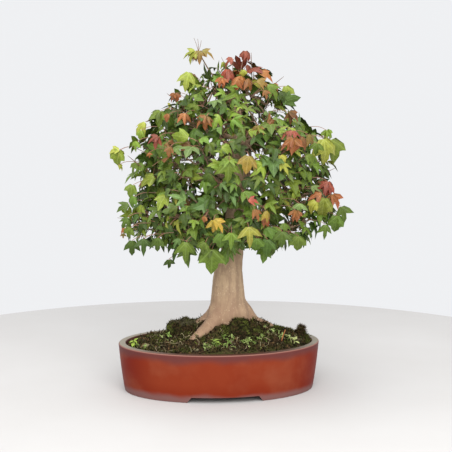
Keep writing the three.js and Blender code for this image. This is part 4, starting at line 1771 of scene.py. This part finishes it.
@dataclass
class Crown:
    """The leafy crown: shoots spread through an outline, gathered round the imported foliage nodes."""

    trunk: Trunk
    middle_x: float = 16
    depth_share: float = 0.88
    eye: Triple = (-134, -1328, 369.5)
    outline: tuple[Triple, ...] = (
        (196, 134, 58), (206, 152, 84), (216, 158, 118), (228, 157, 142), (246, 153, 154), (270, 140, 150),
        (303, 141, 143), (336, 141, 145), (359, 128, 124), (372, 116, 92), (393, 94, 88), (415, 66, 76),
        (430, 46, 54), (440, 20, 40), (447, 6, 24),
    )
    layers: tuple[tuple[float, float, int], ...] = ((0.94, 23.3, 6), (0.64, 38.0, 4))
    tries: int = 5200
    floor_z: float = 213
    ceiling_z: float = 438
    inset: float = 15
    shoot_length: float = 21
    leaf_length: Span = (16, 29)
    stalk_tint: Colour = (0.20, 0.075, 0.035)
    twig_tint: Colour = (0.17, 0.10, 0.065)
    branch_tint: Colour = (0.33, 0.235, 0.15)
    hangs: tuple[Hang, ...] = (
        Hang(0.7, 0.22, 0.25), Hang(1.1, 0.42, -0.3), Hang(1.4, 0.12, 0.15), Hang(1.7, 0.5, -0.1),
        Hang(1.2, -0.22, 0.4), Hang(1.55, 0.28, -0.45), Hang(0.9, 0.55, 0.1),
    )
    forms: tuple[tuple[Span, ...], ...] = (
        ((0, 1.0), (16, 0.70), (22, 0.47), (33, 0.58), (46, 0.88), (61, 0.52), (96, 0.17)),
        ((0, 1.0), (13, 0.64), (22, 0.38), (36, 0.50), (52, 0.80), (66, 0.42), (96, 0.14)),
        ((0, 1.0), (19, 0.74), (27, 0.58), (36, 0.64), (45, 0.80), (60, 0.55), (98, 0.20)),
    )
    mix: tuple[tuple[Shade, float], ...] = (
        (Shade.GREEN, 0.42), (Shade.DEEP, 0.25), (Shade.SILVERY, 0.14), (Shade.FRESH, 0.12),
        (Shade.LIME, 0.03), (Shade.RUSSET, 0.005), (Shade.AMBER, 0.004),
    )
    patches: tuple[Patch, ...] = (
        Patch(34, 434, 14, (Shade.ORANGE, Shade.GREEN, Shade.RED)),
        Patch(148, 326, 20, (Shade.FRESH, Shade.LIME), 0.6),
        Patch(157, 255, 14, (Shade.LIME, Shade.GREEN), 0.6),
        Patch(-139, 320, 14, (Shade.FRESH, Shade.LIME)),
        Patch(-115, 348, 14, (Shade.FRESH, Shade.LIME), 0.7),
        Patch(12, 312, 14, (Shade.FRESH,), 0.6),
        Patch(62, 236, 10, (Shade.AMBER, Shade.ORANGE), 0.5),
        Patch(-60, 330, 26, (Shade.RUSSET, Shade.GREEN, Shade.GREEN, Shade.GREEN), 0.4),
    )
    sprays: tuple[Spray, ...] = (
        Spray(36, 465, 18, Shade.RED, (-105, -55)), Spray(19, 454, 20, Shade.RED, (-162,)),
        Spray(4, 450, 13, Shade.LIME, (-55,)), Spray(37, 446, 17, Shade.RED, (-38,)),
        Spray(33, 440, 12, Shade.LIME, (-90,)), Spray(12, 440, 21, Shade.RED, (-118, -40)),
        Spray(4, 429, 15, Shade.ORANGE, (-120, -75)), Spray(25, 428, 18, Shade.ORANGE, (-110, -80)),
        Spray(39, 428, 20, Shade.ORANGE, (-60,)), Spray(54, 435, 24, Shade.ORANGE, (-14,)),
        Spray(51, 424, 22, Shade.AMBER, (-8,)), Spray(74, 421, 14, Shade.ORANGE, (-30,)),
        Spray(66, 419, 27, Shade.GREEN, (-38,)), Spray(91, 418, 30, Shade.LIME, (-65,)),
        Spray(61, 412, 13, Shade.RUSSET, (-60,)), Spray(-41, 436, 28, Shade.LIME, (-108,)),
        Spray(-39, 434, 30, Shade.FRESH, (-92,)), Spray(-60, 408, 15, Shade.ORANGE, (-130, -70)),
        Spray(-80, 384, 25, Shade.GREEN, (-160, -100)), Spray(-69, 380, 13, Shade.ORANGE, (-125,)),
        Spray(-46, 381, 18, Shade.ORANGE, (-155, -100)), Spray(-18, 377, 22, Shade.ORANGE, (-148, -100)),
        Spray(-17, 377, 13, Shade.RUSSET, (-20,)), Spray(-101, 369, 22, Shade.LIME, (-150,)),
        Spray(-106, 358, 16, Shade.FRESH, (-110,)), Spray(-112, 343, 18, Shade.FRESH, (-112,)),
        Spray(-137, 331, 29, Shade.FRESH, (-105,)), Spray(-136, 331, 15, Shade.LIME, (180, -50)),
        Spray(-138, 311, 12, Shade.LIME, (-25,)), Spray(-83, 349, 18, Shade.RED, (-168, -115)),
        Spray(-96, 328, 9, Shade.ORANGE, (-75,)), Spray(-67, 336, 15, Shade.RUSSET, (-105,)),
        Spray(96, 382, 18, Shade.RUSSET, (-28, -75)), Spray(53, 364, 15, Shade.AMBER, (-105, -45)),
        Spray(101, 357, 19, Shade.RED, (-165, -18)), Spray(102, 347, 24, Shade.ORANGE, (-148, -95, -65)),
        Spray(114, 349, 21, Shade.ORANGE, (-55,)), Spray(123, 352, 22, Shade.AMBER, (-48,)),
        Spray(149, 358, 18, Shade.FRESH, (-42, -100)), Spray(145, 346, 44, Shade.LIME, (-78,)),
        Spray(155, 345, 36, Shade.FRESH, (-75,)), Spray(136, 340, 22, Shade.GREEN, (-100,)),
        Spray(3, 334, 20, Shade.FRESH, (2,)), Spray(12, 315, 34, Shade.FRESH, (-86,)),
        Spray(14, 316, 16, Shade.FRESH, (175, 5)), Spray(41, 323, 24, Shade.YELLOW, (-104,)),
        Spray(45, 312, 15, Shade.AMBER, (-28,)), Spray(152, 287, 22, Shade.RED, (-165, -105, -60)),
        Spray(143, 271, 22, Shade.ORANGE, (-176,)), Spray(157, 268, 23, Shade.ORANGE, (-90, -50)),
        Spray(147, 264, 38, Shade.LIME, (-100,)), Spray(136, 259, 22, Shade.LIME, (-140,)),
        Spray(171, 252, 30, Shade.GREEN, (-72,)), Spray(165, 239, 31, Shade.GREEN, (-100,)),
        Spray(112, 257, 20, Shade.SILVERY, (-95,)), Spray(107, 247, 16, Shade.ORANGE, (-112, -78)),
        Spray(40, 261, 15, Shade.RED, (8,)), Spray(48, 249, 17, Shade.ORANGE, (-58,)),
        Spray(65, 247, 18, Shade.YELLOW, (-70,)), Spray(-8, 235, 22, Shade.YELLOW, (-85, -40)),
        Spray(-19, 240, 10, Shade.ORANGE, (-120,)), Spray(41, 225, 29, Shade.LIME, (-84,)),
        Spray(-128, 223, 11, Shade.ORANGE, (-168,)), Spray(-132, 218, 9, Shade.AMBER, (-92,)),
        Spray(-46, 205, 34, Shade.GREEN), Spray(-10, 194, 35, Shade.FRESH),
        Spray(-19, 204, 24, Shade.GREEN, (-120,)), Spray(-70, 181, 18, Shade.DEEP, (-82,)),
        Spray(-116, 268, 20, Shade.GREEN, (-120,)), Spray(-124, 258, 20, Shade.DEEP, (-160,)),
        Spray(-126, 240, 22, Shade.GREEN, (-130,)), Spray(-122, 226, 22, Shade.GREEN, (-110,)),
        Spray(-118, 284, 20, Shade.GREEN, (-110,)),
    )
    hem: tuple[Span, ...] = (
        (-120, 208), (-104, 210), (-85, 211), (2, 216), (17, 217), (52, 209), (67, 207), (88, 218),
        (111, 211), (149, 227),
    )
    leader: tuple[Triple, ...] = ((12, 0, 419), (-2, -2, 425), (-13, -4, 437), (-22, -7, 451), (-29, -8, 463))
    leader_tips: tuple[Triple, ...] = ((-35, -8, 481), (-30, -9, 480), (-25, -8, 478))
    leader_fan: tuple[FanLeaf, ...] = (
        FanLeaf(180, 20, Shade.LIME, -0.2), FanLeaf(212, 22, Shade.LIME, -0.7),
        FanLeaf(275, 21, Shade.AMBER, -0.9), FanLeaf(345, 22, Shade.AMBER, -0.15),
        FanLeaf(100, 18, Shade.AMBER, -0.3),
    )
    bare_ends: tuple[BareEnd, ...] = (
        BareEnd(-118, -20, 318, 150), BareEnd(-128, -16, 238, 170), BareEnd(-110, -18, 332, 160),
        BareEnd(44, -8, 452, 80), BareEnd(8, -10, 446, 120), BareEnd(80, -6, 424, 40),
        BareEnd(-64, -12, 402, 140), BareEnd(150, -30, 300, 20),
    )

    def __post_init__(self) -> None:
        """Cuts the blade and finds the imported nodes' middles."""
        flats = [cut_blade(form) for form in self.forms]
        self.blades = [hang_blade(flat, hang) for hang in self.hangs for flat in flats]
        self.nodes = sorted(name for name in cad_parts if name.startswith("foliage_"))
        to_pot = TO_FRAME.inverted()
        self.middles = {name: to_pot @ ((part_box(name)[0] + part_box(name)[1]) / 2) for name in self.nodes}
        self.leaves = {name: Growth() for name in [*self.nodes, "leader_shoot"]}
        self.wood = {name: Growth() for name in self.leaves}

    def reach(self, turn: float, z: float) -> float:
        """How far the crown goes out from its middle line at a height, along a compass angle."""
        heights = [row[0] for row in self.outline]
        left = np.interp(z, heights, [row[1] for row in self.outline])
        right = np.interp(z, heights, [row[2] for row in self.outline])
        across = right if math.cos(turn) > 0 else left
        deep = self.depth_share * (left + right) / 2
        return float(1 / math.hypot(math.cos(turn) / across, math.sin(turn) / deep))

    def seen(self, place: Vector) -> Span:
        """Where a place lies on the upright plane through the trunk, looked at from the front."""
        eye = Vector(self.eye)
        share = -eye.y / (place.y - eye.y)
        on_plane = eye + (place - eye) * share
        return on_plane.x, on_plane.z

    def unseen(self, x: float, z: float, y: float) -> Vector:
        """The place at a depth that lies, looked at from the front, over a point of the upright plane."""
        eye = Vector(self.eye)
        share = (y - eye.y) / -eye.y
        return eye + (Vector((x, 0, z)) - eye) * share

    def front(self, x: float, z: float) -> float:
        """How deep the crown's front lies behind a point of the upright plane."""
        y = -60.0
        for _ in range(3):
            place = self.unseen(x, z, y)
            across = self.reach(0 if place.x > self.middle_x else math.pi, place.z)
            share = min(1, abs(place.x - self.middle_x) / across)
            y = -self.reach(math.pi / 2, place.z) * math.sqrt(1 - share * share) * 0.97 - 4
        return y

    def outward(self, place: Vector) -> Vector:
        """The way out of the crown at a place, level at its sides and up at its top."""
        flat = Vector(((place.x - self.middle_x) / 150, place.y / 130, 0))
        rise = (place.z - 262) / 300
        way = flat + UP * (rise if rise > 0 else rise * 0.9)
        return way.normalized() if way.length > 0.05 else UP.copy()

    def nearest(self, place: Vector) -> str:
        """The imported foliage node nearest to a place."""
        return min(self.nodes, key=lambda name: (self.middles[name] - place).length)

    def spread_shoots(self) -> list[Shoot]:
        """Shoot tips all through the crown, kept apart from each other, densest near its outline."""
        dice = random.Random(101)
        shoots: list[Shoot] = []
        for share, spacing, leaves in self.layers:
            kept = np.empty((0, 3))
            for _ in range(self.tries):
                z = dice.uniform(self.floor_z, self.ceiling_z)
                turn = dice.uniform(0, FULL_TURN)
                edge = self.reach(turn, z) - self.inset
                out = edge * share * dice.uniform(0.93, 1.05)
                if z < self.floor_z + 16:
                    out = edge * share * math.sqrt(dice.uniform(0.10, 1))
                raised = z < self.floor_z + 0.09 * max(0, out * math.cos(turn) - 20)
                place = Vector((self.middle_x + out * math.cos(turn), out * math.sin(turn), z))
                gap = spacing * dice.uniform(0.8, 1.2)
                thin = raised or lumps(*place, 34, 14) < 0.10 * ease((z - 330) / 60) - 0.18
                gaps = np.linalg.norm(kept - np.array(place), axis=1)
                if thin or out < 8 or gaps.min(initial=math.inf) < gap:
                    continue
                kept = np.vstack([kept, np.array(place)])
                outward = self.outward(place)
                heading = outward + UP * 0.3 + jitter(dice, 0.35)
                count = leaves + dice.choice((-1, 0, 0, 1))
                shoots.append(Shoot(place, heading.normalized(), outward, count, dice.uniform(0.85, 1.12)))
        return shoots

    def pick_shade(self, place: Vector, dice: random.Random) -> Shade:
        """A leaf's colour: a turned patch's if it hangs in one, otherwise one of the green mix."""
        x, z = self.seen(place)
        if place.y < 10:
            for patch in self.patches:
                if math.hypot(x - patch.x, z - patch.z) < patch.reach and dice.random() < patch.share:
                    return dice.choice(patch.shades)
        toss = dice.random() * sum(share for _, share in self.mix)
        for shade, share in self.mix:
            toss -= share
            if toss <= 0:
                return shade
        return Shade.GREEN

    def put_blade(
        self, growth: Growth, foot: Vector, ahead: Vector, above: Vector, length: float, shade: Shade,
        dice: random.Random,
    ) -> None:
        """Hangs one blade.

        Args:
            growth: Where it is collected.
            foot: Where its stalk ends.
            ahead: Where its middle lobe starts out.
            above: Which way its upper face looks.
            length: How long it is.
            shade: Its colours.
            dice: The source of its small differences.
        """
        wide = length * dice.uniform(0.82, 1.06)
        scale = Matrix.Diagonal((wide, length, length, 1))
        glow = dice.uniform(0.68, 1.32)
        warm = dice.uniform(0.90, 1.16)
        inner, outer = [tuple(c * glow * w for c, w in zip(tone, (warm, 1, 1))) for tone in shade.value]
        place = Matrix.Translation(foot) @ basis(ahead, above) @ scale
        growth.add(dice.choice(self.blades), place, inner, outer)

    def leaf_out(self, shoot: Shoot, name: str, dice: random.Random) -> Vector:
        """Sets a shoot's leaves, in pairs that stand crosswise.

        Args:
            shoot: The shoot.
            name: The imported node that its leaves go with.
            dice: The source of its small differences.

        Returns:
            Where the shoot starts.
        """
        growth = self.leaves[name]
        length = self.shoot_length * shoot.scale
        start = shoot.tip - shoot.heading * length
        side = shoot.heading.cross(UP + Vector((0.01, 0, 0))).normalized()
        turn0 = dice.uniform(-0.5, 0.5)
        pairs = max(1, (shoot.leaves + 1) // 2)
        flat_out = Vector((shoot.tip.x - self.middle_x, shoot.tip.y, 0)).normalized()
        for number in range(shoot.leaves):
            pair, mate = divmod(number, 2)
            share = (pair + 0.6) / pairs
            turn = turn0 + pair * math.pi / 2 + mate * math.pi + dice.uniform(-0.3, 0.3)
            around = Matrix.Rotation(turn, 3, shoot.heading) @ side
            stalk_way = (around * 0.85 + shoot.heading * 0.5 + UP * 0.15).normalized()
            node = start + shoot.heading * length * share
            blade = dice.uniform(*self.leaf_length) * shoot.scale * (1.05 - 0.25 * share)
            stalk = blade * dice.uniform(0.4, 0.75)
            foot = node + stalk_way * stalk
            level = Vector((stalk_way.x, stalk_way.y, stalk_way.z * 0.3))
            stray = jitter(dice, 0.5)
            ahead = level * 0.8 + shoot.outward * 0.55 - UP * dice.uniform(0.2, 0.8) + stray
            above = UP * 0.5 + flat_out * 0.7 + shoot.outward * 0.3 + stray.yzx * 1.2
            bend = (node + foot) / 2 + UP * stalk * 0.08
            growth.add_tube([node, bend, foot], [0.42, 0.38, 0.36], 3, self.stalk_tint)
            self.put_blade(growth, foot, ahead, above, blade, self.pick_shade(foot, dice), dice)
        return start

    def grow_branch(self, name: str) -> list[Vector]:
        """The main branch from the trunk towards a foliage node."""
        middle = self.middles[name]
        away = math.hypot(middle.x - self.middle_x, middle.y)
        start = self.trunk.middle_at(max(206, middle.z - 14 - 0.30 * away))
        end = middle.lerp(start, 0.26)
        dice = random.Random(name)
        sway = Vector((dice.uniform(-8, 8), dice.uniform(-8, 8), -3))
        path = smooth_path([start, start.lerp(end, 0.4) + sway, start.lerp(end, 0.75) - sway * 0.5, end], 4)
        thick = 2.2 + 0.018 * away + 0.006 * (480 - middle.z)
        self.wood[name].add_tube(path, fade(thick, 1.5, len(path)), 8, self.branch_tint)
        return path

    def grow_twig(
        self, name: str, branch: Sequence[Vector], foot: Vector, tip: Vector, dice: random.Random,
    ) -> None:
        """A twig from the nearest part of a branch out to a shoot, and on through it.

        Args:
            name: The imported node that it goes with.
            branch: That node's branch.
            foot: Where the shoot starts.
            tip: Where the shoot ends.
            dice: The source of its small differences.
        """
        outer = branch[len(branch) // 3:]
        source = min(outer, key=lambda p: (p - foot).length + 0.4 * (p - branch[-1]).length)
        gap = (foot - source).length
        bend = source.lerp(foot, 0.55) + Vector((dice.uniform(-1, 1), dice.uniform(-1, 1), -0.6)) * gap * 0.09
        path = smooth_path([source, bend, foot, tip], 2)
        radii = fade(min(1.5, 0.8 + gap * 0.012), 0.5, len(path))
        self.wood[name].add_tube(path, radii, 5, self.branch_tint, self.twig_tint)

    def show_off(self) -> None:
        """Hangs the sprays that stand out and the leaves along the crown's lower edge."""
        dice = random.Random(77)
        hem = [Spray(x, z, 24, dice.choice((Shade.GREEN, Shade.DEEP))) for x, z in self.hem]
        for spray in [*self.sprays, *hem]:
            tip = self.unseen(spray.x, spray.z, self.front(spray.x, spray.z))
            growth = self.leaves[self.nearest(tip)]
            inside = Vector((self.middle_x, 0, min(tip.z + 10, 380)))
            root = tip + (inside - tip).normalized() * 30 + UP * 2
            stem = smooth_path([root, tip.lerp(root, 0.4) + UP * 3, tip], 3)
            growth.add_tube(stem, fade(0.6, 0.38, len(stem)), 4, self.twig_tint, self.stalk_tint)
            for heading in spray.headings:
                turn = math.radians(heading)
                ahead = Vector((math.cos(turn), -0.25, math.sin(turn)))
                above = Vector((math.cos(turn) * 0.2, -0.7, 0.8))
                self.put_blade(growth, tip + ahead * 0.5, ahead, above, spray.length, spray.shade, dice)

    def grow_leader(self) -> None:
        """The thin leader that stands over the crown, with an umbrella of turning leaves and bare tips."""
        dice = random.Random(3)
        line = [Vector(place) for place in self.leader]
        top = line[-1]
        stem = smooth_path(line, 3)
        growth, wood = self.leaves["leader_shoot"], self.wood["leader_shoot"]
        wood.add_tube(stem, fade(1.3, 0.6, len(stem)), 6, self.branch_tint, self.twig_tint)
        for place in self.leader_tips:
            tip = Vector(place)
            twig = smooth_path([top, top.lerp(tip, 0.5) + Vector((0.6, 0, 0)), tip], 2)
            wood.add_tube(twig, fade(0.5, 0.28, len(twig)), 4, self.twig_tint)
        for leaf in self.leader_fan:
            turn = math.radians(leaf.turn)
            foot = top + compass(turn, 0.1) * 5
            growth.add_tube([top, top.lerp(foot, 0.5) + UP, foot], [0.4, 0.38, 0.36], 4, self.stalk_tint)
            above = UP + Vector((0, -0.5, 0))
            self.put_blade(growth, foot, compass(turn, leaf.drop), above, leaf.length, leaf.shade, dice)

    def bare_twigs(self) -> None:
        """Fine bare twig ends that stand out past the leaves."""
        dice = random.Random(55)
        for end in self.bare_ends:
            foot = self.unseen(end.x, end.z, end.y)
            turn = math.radians(end.heading + dice.uniform(-12, 12))
            ahead = Vector((math.cos(turn), dice.uniform(-0.3, 0.3), math.sin(turn)))
            path = smooth_path([foot - ahead * 26, foot, foot + ahead * dice.uniform(8, 13)], 3)
            self.wood[self.nearest(foot)].add_tube(path, fade(0.8, 0.3, len(path)), 4, self.twig_tint)

    def build(self) -> None:
        """Branches, shoots and leaves, then one piece of leaves and one of wood for each node."""
        dice = random.Random(7)
        branches = {name: self.grow_branch(name) for name in self.nodes}
        shoots = self.spread_shoots()
        log.info("%d shoots", len(shoots))
        for shoot in shoots:
            name = self.nearest(shoot.tip)
            foot = self.leaf_out(shoot, name, dice)
            self.grow_twig(name, branches[name], foot, shoot.tip, dice)
        self.show_off()
        self.bare_twigs()
        self.grow_leader()
        blades = BladeFinish().make()
        twigs = TintedFinish("twig_bark", 0.7, 0.22, Grain(600, 0.5, 0.5, 0.0005)).make()
        for name in self.leaves:
            hand_over(self.leaves[name].build(f"leaves_{name}", 75), Slot.LEAF, blades, name)
            hand_over(self.wood[name].build(f"twigs_{name}", 60), Slot.BARK, twigs)


def note_size() -> None:
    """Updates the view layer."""
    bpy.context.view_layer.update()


def main() -> None:
    """Sets the studio, then makes the pot, the bed, the trunk and the crown."""
    logging.basicConfig(level=logging.INFO, format="%(message)s")
    Studio().build()
    pot = Pot()
    pot.build()
    Bed(pot).build()
    trunk = Trunk()
    trunk.build()
    Crown(trunk).build()
    note_size()


if __name__ == "__main__":
    main()
